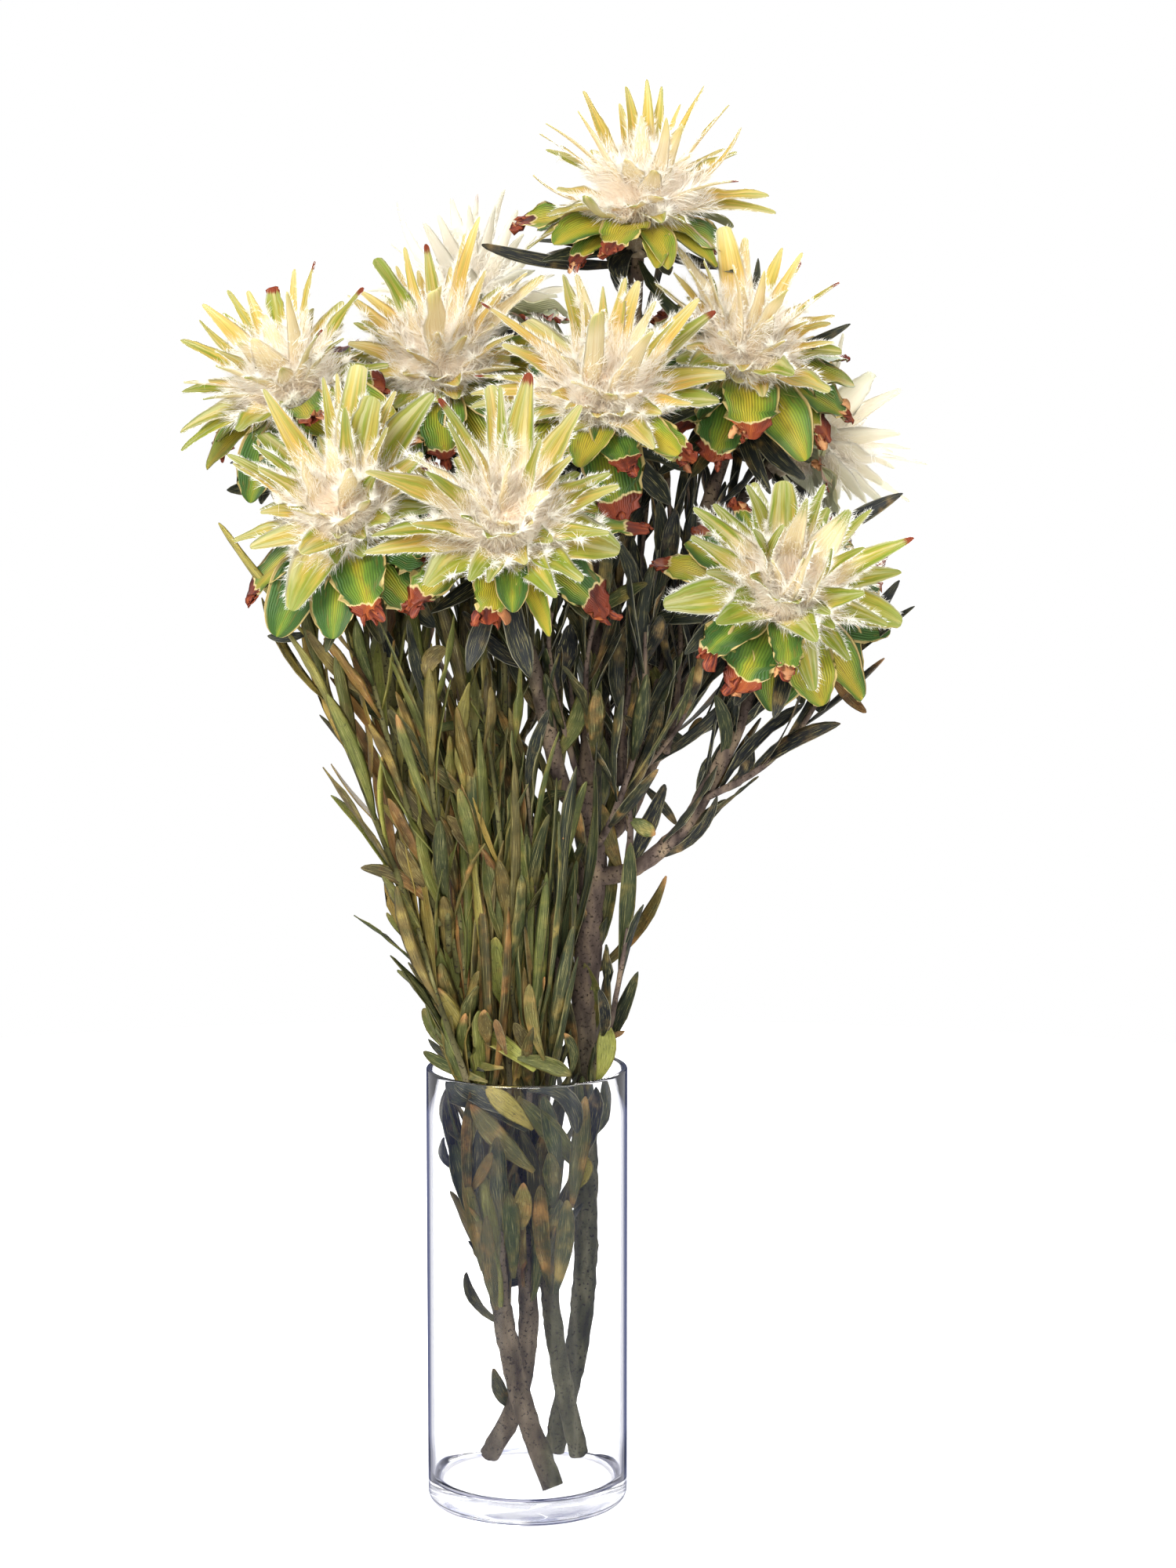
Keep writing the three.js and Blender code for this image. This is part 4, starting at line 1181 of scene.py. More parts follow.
# Leaves that stand out in the picture: tip and base in pixels, width in mm, and how far the middle
# bows to the left, as a share of the length.
LEAVES = {
    "taupe": (
        (391, 803, 475, 893, 6, 0.05), (450, 837, 505, 908, 8, 0.0), (455, 820, 500, 895, 6, 0.0),
        (448, 914, 530, 1025, 8, 0.05), (490, 955, 527, 997, 4, 0.05), (495, 1018, 540, 1105, 6, 0.03),
        (507, 1070, 545, 1132, 8, 0.05), (500, 985, 578, 1068, 9, 0.05), (570, 1040, 612, 1095, 8, -0.05),
        (408, 765, 454, 834, 3, 0.03), (570, 828, 546, 858, 9, 0.2), (1105, 909, 1035, 850, 6, 0.0),
        (625, 1140, 612, 1300, 7, 0.0), (553, 1178, 562, 1230, 5, 0.06), (655, 1305, 672, 1348, 7, -0.08),
        (632, 1300, 646, 1345, 5, 0.0), (895, 915, 878, 942, 5, 0.0), (797, 1315, 773, 1326, 3, 0.0),
        (662, 1075, 680, 1300, 6, -0.02),
    ),
    "olive": (
        (431, 867, 530, 937, 6, 0.04), (495, 905, 548, 990, 9, 0.0), (530, 913, 562, 965, 7, 0.06),
        (536, 967, 592, 1014, 8, 0.0), (460, 1107, 562, 1162, 7, -0.12), (524, 1150, 590, 1292, 9, 0.09),
        (553, 1092, 572, 1152, 6, 0.0), (570, 1130, 587, 1245, 7, -0.04), (612, 1150, 606, 1300, 5, 0.04),
        (612, 940, 634, 1125, 6, -0.02), (625, 955, 642, 1150, 6, 0.0), (600, 950, 612, 1110, 7, 0.0),
        (618, 1075, 642, 1205, 8, 0.04), (655, 1040, 656, 1150, 6, 0.0), (640, 1020, 652, 1230, 7, 0.0),
        (745, 1228, 732, 1332, 8, -0.12), (675, 1255, 694, 1352, 7, 0.04), (690, 1185, 698, 1310, 6, 0.0),
        (562, 1332, 642, 1362, 6, 0.06), (540, 1341, 622, 1380, 6, 0.04), (835, 850, 840, 902, 7, 0.0),
        (768, 1026, 790, 1118, 9, 0.06), (780, 1080, 762, 1238, 7, -0.05), (629, 1745, 642, 1790, 8, 0.1),
        (600, 1395, 600, 1540, 6, 0.05), (635, 1450, 642, 1570, 10, 0.0), (700, 1470, 705, 1540, 9, 0.0),
        (705, 1585, 712, 1620, 7, -0.1), (703, 1708, 696, 1755, 3, 0.0), (826, 744, 735, 770, 8, 0.04),
        (746, 1400, 728, 1540, 9, 0.0), (650, 1520, 655, 1630, 9, 0.0), (690, 1510, 700, 1640, 9, 0.03),
        (722, 1530, 708, 1650, 9, -0.03), (592, 1500, 616, 1620, 8, 0.0), (622, 1550, 634, 1670, 9, 0.0),
    ),
    "yellow": (
        (523, 977, 578, 1068, 10, -0.04), (574, 1302, 682, 1366, 10, -0.06), (729, 1372, 660, 1350, 8, 0.06),
        (493, 1164, 548, 1218, 5, 0.0), (773, 1305, 762, 1378, 10, -0.06), (632, 1195, 645, 1295, 11, 0.05),
        (540, 1286, 604, 1350, 10, 0.05), (664, 1402, 733, 1487, 12, -0.08), (745, 1474, 726, 1520, 9, -0.1),
        (620, 1392, 680, 1440, 10, -0.05), (628, 1470, 600, 1520, 6, 0.0), (600, 1000, 637, 1115, 3, 0.04),
    ),
    "rusty": (
        (541, 936, 645, 943, 5, -0.12), (639, 960, 692, 1047, 11, 0.12), (746, 872, 714, 967, 9, -0.08),
        (708, 1125, 743, 1242, 11, 0.04), (693, 1150, 704, 1352, 7, 0.02), (850, 1117, 764, 1250, 7, -0.06),
        (535, 1245, 592, 1302, 8, 0.05), (601, 1410, 681, 1494, 11, 0.03), (668, 1508, 665, 1568, 9, 0.0),
        (836, 1065, 803, 1042, 8, 0.0), (660, 1030, 674, 1185, 5, 0.0), (720, 1318, 727, 1372, 5, -0.15),
        (618, 1288, 622, 1330, 7, 0.0), (782, 830, 842, 858, 5, 0.1),
    ),
    "green": (
        (605, 828, 668, 978, 9, 0.1), (584, 903, 642, 946, 7, 0.06), (728, 1013, 694, 1055, 6, 0.3),
        (668, 1040, 706, 1112, 5, 0.06), (820, 900, 872, 944, 9, 0.12), (885, 850, 878, 935, 7, -0.04),
        (912, 886, 898, 962, 7, -0.12), (563, 1384, 672, 1442, 9, -0.04), (735, 1445, 672, 1394, 9, 0.3),
        (776, 1384, 750, 1452, 7, -0.1), (596, 1622, 637, 1688, 6, 0.14), (624, 1638, 692, 1617, 7, 0.0),
        (700, 905, 688, 1010, 6, 0.05), (560, 1388, 622, 1412, 8, 0.05), (580, 1386, 660, 1424, 9, 0.0),
        (566, 1396, 598, 1460, 9, 0.08), (575, 1440, 604, 1560, 8, 0.05), (692, 1400, 712, 1490, 10, 0.0),
    ),
    "dark": (
        (728, 796, 700, 882, 11, -0.05), (780, 806, 838, 852, 7, 0.0), (795, 912, 842, 952, 6, 0.05),
        (920, 876, 920, 935, 7, 0.0), (940, 884, 935, 942, 8, 0.0), (1005, 868, 952, 932, 5, 0.0),
        (952, 938, 910, 1018, 7, -0.22), (905, 965, 860, 1017, 6, 0.0), (915, 1015, 838, 1116, 5, -0.14),
        (863, 1052, 840, 1010, 5, 0.0), (848, 1000, 802, 1112, 9, 0.0), (1043, 908, 1030, 858, 8, 0.0),
        (1167, 773, 1142, 742, 5, 0.0), (814, 762, 888, 806, 9, 0.04), (764, 1262, 768, 1322, 6, -0.06),
        (546, 1325, 602, 1366, 4, 0.05), (560, 1342, 617, 1366, 4, 0.0), (566, 1450, 592, 1494, 5, 0.2),
        (598, 1582, 620, 1625, 4, 0.0), (590, 780, 668, 862, 10, 0.1), (610, 1440, 602, 1535, 7, 0.0),
        (470, 765, 502, 885, 6, 0.0), (520, 790, 542, 905, 6, 0.0), (490, 800, 520, 885, 7, 0.0),
        (289, 625, 345, 640, 9, 0.0), (341, 811, 384, 770, 5, 0.1), (828, 611, 800, 660, 9, -0.1),
        (1085, 413, 1055, 440, 6, 0.0), (967, 329, 962, 372, 5, 0.0), (1152, 629, 1105, 670, 9, 0.0),
        (760, 1390, 742, 1480, 9, 0.0), (568, 1400, 586, 1500, 8, 0.0), (1072, 524, 968, 612, 11, 0.1),
        (614, 312, 700, 330, 7, 0.05), (840, 640, 832, 740, 9, 0.0), (862, 650, 846, 745, 9, 0.0),
    ),
}

# What a look does to a leaf: how yellow it is, how brown, and whether its tip is orange.
LEAF_LOOKS = {
    "taupe": (0.45, 0.9, 0.0),
    "olive": (0.55, 0.35, 0.1),
    "yellow": (0.85, 0.2, 0.2),
    "rusty": (0.6, 0.25, 1.0),
    "green": (0.25, 0.0, 0.0),
    "dark": (0.05, 0.15, 0.0),
}


def at_depth(across, down, depth):
    """The point on the sight line through a pixel at a distance, in mm, behind the vase's axis."""
    ray = sight(across, down)
    return CAMERA_PLACE + ray * (depth * MM - CAMERA_PLACE[1]) / ray[1]


def smooth_line(points, step=LINE_STEP):
    """A Catmull-Rom curve through the points in even steps. A column after the third is carried along."""
    ends = np.vstack([2 * points[0] - points[1], points, 2 * points[-1] - points[-2]])
    share = np.linspace(0, 1, 12, endpoint=False)[:, None]
    parts = []
    for a, b, c, d in zip(ends[:-3], ends[1:-2], ends[2:-1], ends[3:]):
        bend = 2 * a - 5 * b + 4 * c - d
        swing = 3 * b - a - 3 * c + d
        parts.append(0.5 * (2 * b + (c - a) * share + bend * share**2 + swing * share**3))
    line = np.vstack([*parts, points[-1:]])
    run = np.concatenate([[0.0], np.cumsum(np.linalg.norm(np.diff(line[:, :3], axis=0), axis=1))])
    even = np.linspace(0, run[-1], max(3, round(run[-1] / step) + 1))
    return np.stack([np.interp(even, run, line[:, column]) for column in range(line.shape[1])], 1)


def rings_of(name):
    """Centre and radius of each whole ring of a stem's solid, from its lower end up.

    The rings are further apart in height than the corners of one ring are. A ring that was cut to its
    parent's bark has another number of corners and is left out.
    """
    points = node_points(name)
    points = points[np.argsort(points[:, 2])]
    cuts = np.nonzero(np.diff(points[:, 2]) > RING_GAP)[0] + 1
    rings = [ring for ring in np.split(points, cuts) if len(ring) == STEM_SIDES]
    centres = np.array([ring.mean(axis=0) for ring in rings])
    radii = [np.linalg.norm(ring - centre, axis=1).mean() for ring, centre in zip(rings, centres)]
    return np.column_stack([centres, radii])


def stem_lines():
    """The smooth centre line of every stem and branch, with its radius, a branch from inside its parent."""
    lines = {}
    for name, parent in PARENTS.items():
        rings = rings_of(name)
        if parent:
            start = rings[0] - (rings[1] - rings[0]) * 0.4
            gaps = np.linalg.norm(lines[parent][:, :3] - start[:3], axis=1)
            joint = lines[parent][np.argmin(gaps)].copy()
            joint[3] = rings[0][3] * 1.15
            rings = np.vstack([joint, rings])
        if name != "stem_trunk":
            rings = np.vstack([rings, rings[-1] + (rings[-1] - rings[-2]) * 0.35])
        lines[name] = smooth_line(rings)
    return lines


def tube_part(line, sides, rough, rng):
    """Points, faces and values of one tube along a line: circles across it, made uneven by sine waves."""
    ahead = unit(np.gradient(line[:, :3], axis=0))
    side = unit(np.cross(ahead, [0.0, 1.0, 0.1]))
    other = np.cross(ahead, side)
    turn = math.tau * np.arange(sides) / sides
    run = np.arange(len(line))[:, None] * LINE_STEP
    waves = 0.0
    for length, turns in ((0.031, 2), (0.017, 3), (0.0093, 5), (0.054, 1)):
        waves = waves + np.sin(math.tau * run / length + turns * turn + rng.uniform(0, math.tau))
    grain = rng.normal(0, 0.5, (len(line), sides))
    radius = line[:, 3:4] * (1 + rough * (waves / 2 + grain))
    ring = side[:, None] * np.cos(turn)[:, None] + other[:, None] * np.sin(turn)[:, None]
    rings = line[:, None, :3] + radius[..., None] * ring
    points = np.concatenate([line[:1, :3], rings.reshape(-1, 3), line[-1:, :3]])
    along = np.concatenate([[0.0], np.repeat(np.linspace(0, 1, len(line)), sides), [1.0]])
    return points, *tube_faces(1, len(line), sides), along


def tubes_mesh(name, lines, sides, rough, rng):
    """Several tubes as one mesh."""
    parts = [tube_part(line, sides, rough, rng) for line in lines]
    starts = np.cumsum([0] + [len(part[0]) for part in parts])
    points = np.concatenate([part[0] for part in parts])
    quads = np.concatenate([part[1] + start for part, start in zip(parts, starts)])
    triangles = np.concatenate([part[2] + start for part, start in zip(parts, starts)])
    along = np.concatenate([part[3] for part in parts])
    place = np.column_stack([along, along * 0, along * 0])
    return make_mesh(name, points, quads, triangles, {"place": place})


def leaf(base, tip, width, sway, tone, brown, rust, rng):
    """One leaf as blade values: lance-shaped, thin, gently folded and a little wavy."""
    return {
        "base": base,
        "tip": tip,
        "width": width * MM,
        "belly": rng.uniform(0.5, 0.66),
        "root": 0.22,
        "point": rng.uniform(0.1, 0.3),
        "sharp": rng.uniform(2.0, 3.0),
        "cup": rng.uniform(0.05, 0.3),
        "bow": rng.uniform(-0.07, 0.07),
        "sway": sway + rng.uniform(-0.02, 0.02),
        "twist": rng.uniform(-0.5, 0.5),
        "thick": 0.7 * MM,
        "ripple": rng.uniform(0.0, 0.3),
        "tint": rng.uniform(),
        "rust": rust,
        "felt": brown,
        "green": np.clip(tone + rng.uniform(-0.15, 0.15), 0, 1),
        "phase": rng.uniform(),
    }


VASE_HEIGHT = 221 * MM
LEAF_ROOM = 42 * MM
RIM_ROOM = 4 * MM
NECK_LINE = 1240  # leaves with their tip between these two heights in the picture stand at the front
BARE_LINE = 1570


def in_vase(point):
    """The point itself, or if it is lower than the rim, moved in until it is clear of the glass."""
    out = math.hypot(point[0], point[1])
    if point[2] < VASE_HEIGHT + RIM_ROOM and out > LEAF_ROOM:
        return np.array([point[0] * LEAF_ROOM / out, point[1] * LEAF_ROOM / out, point[2]])
    return point


def at_the_glass(across, down, room):
    """The point on a sight line that is just inside the front of the glass, or level with it over the rim."""
    point = at_depth(across, down, -room / MM)
    for _ in range(3):
        depth = math.sqrt(max(room**2 - point[0] ** 2, 0.0)) / MM
        point = at_depth(across, down, -depth)
    return point


def in_a_head(point):
    """Whether a point is among the bracts of a head, or in front of them."""
    for head in HEADS.values():
        arm = point - head.middle
        height = np.dot(arm, head.axis)
        if height > -16 * MM and np.linalg.norm(arm - head.axis * height) < 58 * MM and height < 70 * MM:
            return True
    return False


def listed_leaves(lines, rng):
    """The leaves that stand out in the picture, each with its base on the nearest stalk behind it."""
    stalks = np.vstack([line[:, :3] for line in lines])
    reach = stalks - CAMERA_PLACE
    made = []
    for look, rows in LEAVES.items():
        tone, brown, rust = LEAF_LOOKS[look]
        for tip_x, tip_y, base_x, base_y, width, sway in rows:
            ray = sight(base_x, base_y)
            depth = reach @ ray
            miss = np.linalg.norm(reach - depth[:, None] * ray, axis=1)
            base = stalks[np.argmin(miss + 0.06 * depth)]
            tip = at_depth(tip_x, tip_y, (base[1] / MM) - 6)
            length = np.linalg.norm(tip - base)
            tip = at_depth(tip_x, tip_y, base[1] / MM - length / MM * rng.uniform(0.05, 0.35))
            if NECK_LINE < tip_y < BARE_LINE:
                base = at_the_glass(base_x, base_y, LEAF_ROOM - 8 * MM)
                tip = at_the_glass(tip_x, tip_y, LEAF_ROOM - rng.uniform(0, 4) * MM)
            row = leaf(in_vase(base), in_vase(tip), width, sway, tone, brown, rust, rng)
            made.append({**row, "face": np.array([rng.uniform(-0.4, 0.4), -1.0, 0.2])})
    return made


class Growth(NamedTuple):
    """How leaves stand up a line, in mm along it."""

    start: float
    gap: float
    length: tuple
    lean: tuple  # degrees away from the line
    width: tuple
    front_bare: float = 0.8  # share of the places at the front that stay bare
    end: float = 1000.0


TWIG_LEAVES = Growth(14, 9.5, (44, 72), (8, 26), (6, 9), 0.4)
BARE_TWIGS = (7, 8, 9, 12)
BARE_TWIG_SHARE = 0.6
SPARSE_TWIG = 12
STRAP_LEAVES = (
    Growth(6, 6.5, (76, 120), (3, 9), (5.5, 9), 0.1, 105),
    Growth(110, 12, (40, 60), (12, 30), (5.5, 9), 0.5),
)
FINE_LEAVES = Growth(20, 8, (34, 56), (12, 30), (5.5, 9), 0.6)
NECK_LEAVES = (
    Growth(85, 3.2, (36, 66), (4, 26), (7.5, 12), 0.0, 215),
    Growth(190, 3.5, (30, 52), (16, 45), (7, 11), 0.0, 268),
)
TRUNK_LEAVES = Growth(150, 8, (40, 60), (3, 12), (7, 10), 0.0, 265)
STEM_LEAVES = Growth(260.0, 9, (40, 62), (12, 30), (6, 9))
BRANCH_START = 24.0  # where a branch's leaves and the trunk's leaves begin, mm
TRUNK_START = 300.0
LEAF_GRID = (9, 6)
SHOOT_LEAF_GRID = (10, 8)
DARK_FROM = 0.36  # leaves darken above this height, in metres
DARKENING = 2.4  # per metre


def spiral_leaves(line, rng, growth):
    """Leaves in a golden-angle spiral up a line: each leans out from it, and none grows into a head."""
    start, gap, length, lean, width, front_bare, end = growth
    made = []
    run = np.arange(len(line)) * LINE_STEP / MM
    turn = rng.uniform(0, math.tau)
    at = start
    while at < min(run[-1] - 4, end):
        index = int(np.searchsorted(run, at))
        ahead = unit(line[min(index + 1, len(line) - 1), :3] - line[max(index - 1, 0), :3])
        first, second = across_axes(ahead)
        turn += GOLDEN_ANGLE
        out = first * math.cos(turn) + second * math.sin(turn)
        shown = out[1] < -0.3 or (out[0] < -0.35 and line[index, 0] < -40 * MM)
        if shown and rng.uniform() < front_bare:
            at += gap * 0.5
            continue
        tilt = math.radians(rng.uniform(*lean))
        way = unit(ahead * math.cos(tilt) + out * math.sin(tilt) + np.array([0, 0, 0.1]))
        base = line[index, :3] + out * line[index, 3] * 0.7
        size = rng.uniform(*length) * MM
        at += gap * rng.uniform(0.7, 1.3)
        tip = base + way * size
        if in_a_head(tip) or in_a_head(base + way * size * 0.6):
            size *= 0.55
            tip = base + way * size
            if in_a_head(tip):
                continue
        rightward = (base[0] + 20 * MM) / (110 * MM) * 0.5
        tone = np.clip(0.62 - rightward - max(base[2] - DARK_FROM, 0) * DARKENING, 0.03, 0.9)
        brown = 0.8 if rng.uniform() < 0.25 and base[0] < 0 else rng.uniform(0, 0.4)
        rust = 1.0 if rng.uniform() < 0.05 else 0.0
        sway = rng.uniform(-0.08, 0.08)
        row = leaf(in_vase(base), in_vase(tip), rng.uniform(*width), sway, tone, brown, rust, rng)
        made.append({**row, "face": -out})
    return made


def leaf_material():
    """Glycerine-preserved leaf: leathery and matt, dark grey-green to olive, browned in places.

    Fine lengthwise grain, dark specks, a faint edge that is a painted highlight on the dark leaves and an
    olive rim on the lighter ones, and a dried orange tip on some.
    """
    tree = Tree(bpy.data.materials.new("preserved_leathery_leaf"))
    add = tree.add
    along, across = tree.field("place")[:2]
    tint, rust, brown = tree.field("nature")
    tone = tree.field("bloom")[0]
    spot = add("ShaderNodeTexCoord", out="Object")
    cloud = add("noise", spot, 90.0, 5.0)
    speck = add("noise", spot, 900.0, 2.0)
    green = add(
        "ramp",
        add("add", tone, add("multiply", add("subtract", cloud, 0.5), 0.5)),
        [(0.0, "0E1216"), (0.25, "20271E"), (0.5, "434724"), (0.75, "746E3A"), (1.0, "A09450")],
    )
    taupe = add("ramp", cloud, [(0.3, "46361E"), (0.5, "705634"), (0.7, "967846")])
    patchy = add("step", add("add", cloud, add("multiply", brown, 0.6)), 0.62, 0.95)
    colour = add("mix", patchy, green, taupe)
    hue = add("ramp", tint, [(0.0, "D8B898"), (0.3, "FFEED0"), (0.6, "ECFFD4"), (1.0, "8C9C88")])
    colour = add("mix", add("step", tone, 0.0, 0.5), colour, add("tint", 1.0, colour, hue))
    end = add("add", along, add("multiply", add("subtract", cloud, 0.5), 0.25))
    colour = add("mix", add("multiply", rust, add("step", end, 0.82, 1.0)), colour, "94683A")
    # painted highlight: a pale grey edge on the dark leaves; the lighter leaves get an olive rim
    painted_edge_highlight = add("mix", add("step", tone, 0.15, 0.5), "96927A", "6A5E2C")
    edge = add("step", add("absolute", across), 0.86, 0.97)
    colour = add("mix", add("multiply", edge, 0.8), colour, painted_edge_highlight)
    seed = add("multiply", tint, 23.0)
    fibre_at = add("join", add("multiply", across, 8.0), add("multiply", along, 3.0), seed)
    fibre = add("noise", fibre_at, 2.0, 4.0)
    colour = add("mix", add("multiply", add("step", fibre, 0.5, 0.66), 0.5), colour, "222417")
    colour = add("mix", add("multiply", add("step", fibre, 0.46, 0.3), 0.45), colour, "AFA66C")
    colour = add("mix", add("multiply", add("step", speck, 0.62, 0.7), 0.5), colour, "23241A")
    shader = add("ShaderNodeBsdfPrincipled", {"Base Color": colour, "Roughness": 0.55})
    shader.node.inputs["Specular IOR Level"].default_value = 0.3
    grain = add("add", fibre, add("multiply", speck, 0.5))
    bump = add("ShaderNodeBump", {"Strength": 0.35, "Distance": 0.0005, "Height": grain})
    tree.links.new(bump, shader.node.inputs["Normal"])
    return tree.done(shader)


def bark_material():
    """Bark of cut and dried stems: grey-brown and rough, speckled dark, and olive lower down."""
    tree = Tree(bpy.data.materials.new("dried_stem_bark"))
    add = tree.add
    spot = add("ShaderNodeTexCoord", out="Object")
    stretch = add("ShaderNodeMapping", {"Vector": spot, "Scale": (1.0, 1.0, 0.3)})
    cloud = add("noise", stretch, 140.0, 6.0)
    speck = add("noise", spot, 650.0, 3.0)
    height = add("ShaderNodeSeparateXYZ", {0: spot}, out=2)
    upper = add("ramp", cloud, [(0.3, "302724"), (0.5, "574A42"), (0.7, "7C6B56")])
    olive = add("ramp", cloud, [(0.3, "2E2C18"), (0.5, "4E4C2A"), (0.7, "76704A")])
    lower = add("ramp", cloud, [(0.3, "3A3228"), (0.5, "5C5244"), (0.7, "7C6E5C")])
    mossy = add("ramp", cloud, [(0.3, "303022"), (0.5, "504E3A"), (0.7, "74705A")])
    across = add("ShaderNodeSeparateXYZ", {0: spot})
    upper = add("mix", add("step", across, 0.012, -0.012), upper, olive)
    to_right = add("add", across, add("multiply", cloud, 0.02))
    lower = add("mix", add("step", to_right, 0.014, 0.022), lower, mossy)
    colour = add("mix", add("step", height, 0.16, 0.27), lower, upper)
    colour = add("mix", add("step", speck, 0.56, 0.68), colour, "2A241D")
    shader = add("ShaderNodeBsdfPrincipled", {"Base Color": colour, "Roughness": 0.85})
    shader.node.inputs["Specular IOR Level"].default_value = 0.15
    grain = add("add", cloud, add("multiply", speck, 0.6))
    bump = add("ShaderNodeBump", {"Strength": 0.7, "Distance": 0.0012, "Height": grain})
    tree.links.new(bump, shader.node.inputs["Normal"])
    return tree.done(shader)


BARK_SIDES = 20
BARK_ROUGH = 0.065  # how uneven the bark is, against the radius
STALK_SIDES = 8
STALK_ROUGH = 0.06
TWIG_RADIUS = 1.7  # mm
SHOOT_RADIUS = 1.6
STALK_TAPER = (1.15, 0.6)


def build_greenery():
    """The stems, the side shoots and all their leaves."""
    rng = np.random.default_rng(SEED + 50)
    bark = shared(bark_material)
    skin = shared(leaf_material)
    lines = stem_lines()
    for name, line in lines.items():
        mesh = tubes_mesh(name, [line], BARK_SIDES, BARK_ROUGH, rng)
        place_piece(f"{name}_bark", mesh, bark, [name])
    twigs = {
        number: smooth_line(np.array([(*point, TWIG_RADIUS) for point in points]) * MM)
        for number, points in TWIGS.items()
    }
    shoots = {
        kind: [
            smooth_line(np.array([(*at_depth(*point), SHOOT_RADIUS * MM) for point in points]))
            for points in paths
        ]
        for kind, paths in SHOOTS.items()
    }
    for line in [*twigs.values(), *shoots["strap"], *shoots["fine"]]:
        line[:, 3] *= np.linspace(*STALK_TAPER, len(line))
    stalks = [*twigs.values(), *shoots["strap"], *shoots["fine"]]
    mesh = tubes_mesh("stalks", stalks, STALK_SIDES, STALK_ROUGH, rng)
    place_piece("side_shoot_stalks", mesh, bark, [])
    for number, line in twigs.items():
        growth = TWIG_LEAVES
        if number in BARE_TWIGS:
            growth = growth._replace(front_bare=BARE_TWIG_SHARE)
        if number == SPARSE_TWIG:
            growth = growth._replace(gap=16, lean=(6, 14))
        mesh = blade_mesh(f"twig_{number}", stacked(spiral_leaves(line, rng, growth)), *LEAF_GRID)
        place_piece(f"leafy_twig_{number}_leaves", mesh, skin, [f"leafy_twig_{number}"])
    rows = listed_leaves([*stalks, *lines.values()], rng)
    for line in shoots["strap"]:
        for growth in STRAP_LEAVES:
            rows += spiral_leaves(line, rng, growth)
    for line in shoots["fine"]:
        rows += spiral_leaves(line, rng, FINE_LEAVES)
    mesh = blade_mesh("shoot_leaves", stacked(rows), *SHOOT_LEAF_GRID)
    place_piece("side_shoot_leaves", mesh, skin, [])
    rows = []
    for name in ("stem_left", "stem_crossing", "stem_green"):
        for growth in NECK_LEAVES:
            rows += spiral_leaves(lines[name], rng, growth)
    rows += spiral_leaves(lines["stem_trunk"], rng, TRUNK_LEAVES)
    mesh = blade_mesh("neck_leaves", stacked(rows), *LEAF_GRID)
    place_piece("vase_neck_leaves", mesh, skin, [])
    for name, line in lines.items():
        growth = STEM_LEAVES
        if PARENTS[name]:
            growth = growth._replace(start=BRANCH_START)
        if name == "stem_trunk":
            growth = growth._replace(start=TRUNK_START)
        if name == "branch_right":
            growth = growth._replace(lean=(6, 18))
        if name == "branch_front":
            growth = growth._replace(front_bare=1.0)
        rows = spiral_leaves(line, rng, growth)
        if rows:
            mesh = blade_mesh(f"{name}_leaves", stacked(rows), *LEAF_GRID)
            place_piece(f"{name}_leaves", mesh, skin, [])


VASE_RADIUS = 50 * MM
VASE_FLOOR = 12 * MM
VASE_HEEL = 6 * MM
VASE_CORNER = 5 * MM
VASE_SIDES = 160


def arc(centre, radius, first, last, steps=7):
    """Points of an arc in the half plane, by its angles in degrees."""
    angle = np.radians(np.linspace(first, last, steps))
    return np.column_stack([centre[0] + radius * np.cos(angle), centre[1] + radius * np.sin(angle)])


def vase_profile():
    """The vase's section from the middle of its foot, out, up, over the lip, down and in again."""
    wall = settings().vase_wall
    inner = VASE_RADIUS - wall
    lip = wall / 2
    walls = np.linspace(0.1, 0.9, 8)[:, None]
    heel = arc((VASE_RADIUS - VASE_HEEL, VASE_HEEL), VASE_HEEL, -90, 0)
    top = arc((VASE_RADIUS - lip, VASE_HEIGHT - lip), lip, 0, 180, 9)
    corner = arc((inner - VASE_CORNER, VASE_FLOOR + VASE_CORNER), VASE_CORNER, 0, -90)
    outside = heel[-1] + (top[0] - heel[-1]) * walls
    inside = top[-1] + (corner[0] - top[-1]) * walls
    foot = np.array([[VASE_RADIUS * share, 0.0] for share in (0.2, 0.5, 0.8)])
    floor = np.array([[inner * share, VASE_FLOOR] for share in (0.75, 0.5, 0.2)])
    return np.concatenate([foot, heel, outside, top, inside, corner, floor])


# The painted streaks of reflection on the heel fade in going down between two heights, and outwards between
# two squared distances from the axis, which are 44 and 49 mm squared.
PAINTED_STREAK_HEIGHTS = (11 * MM, 4 * MM)
PAINTED_STREAK_REACH = (0.0019, 0.0024)


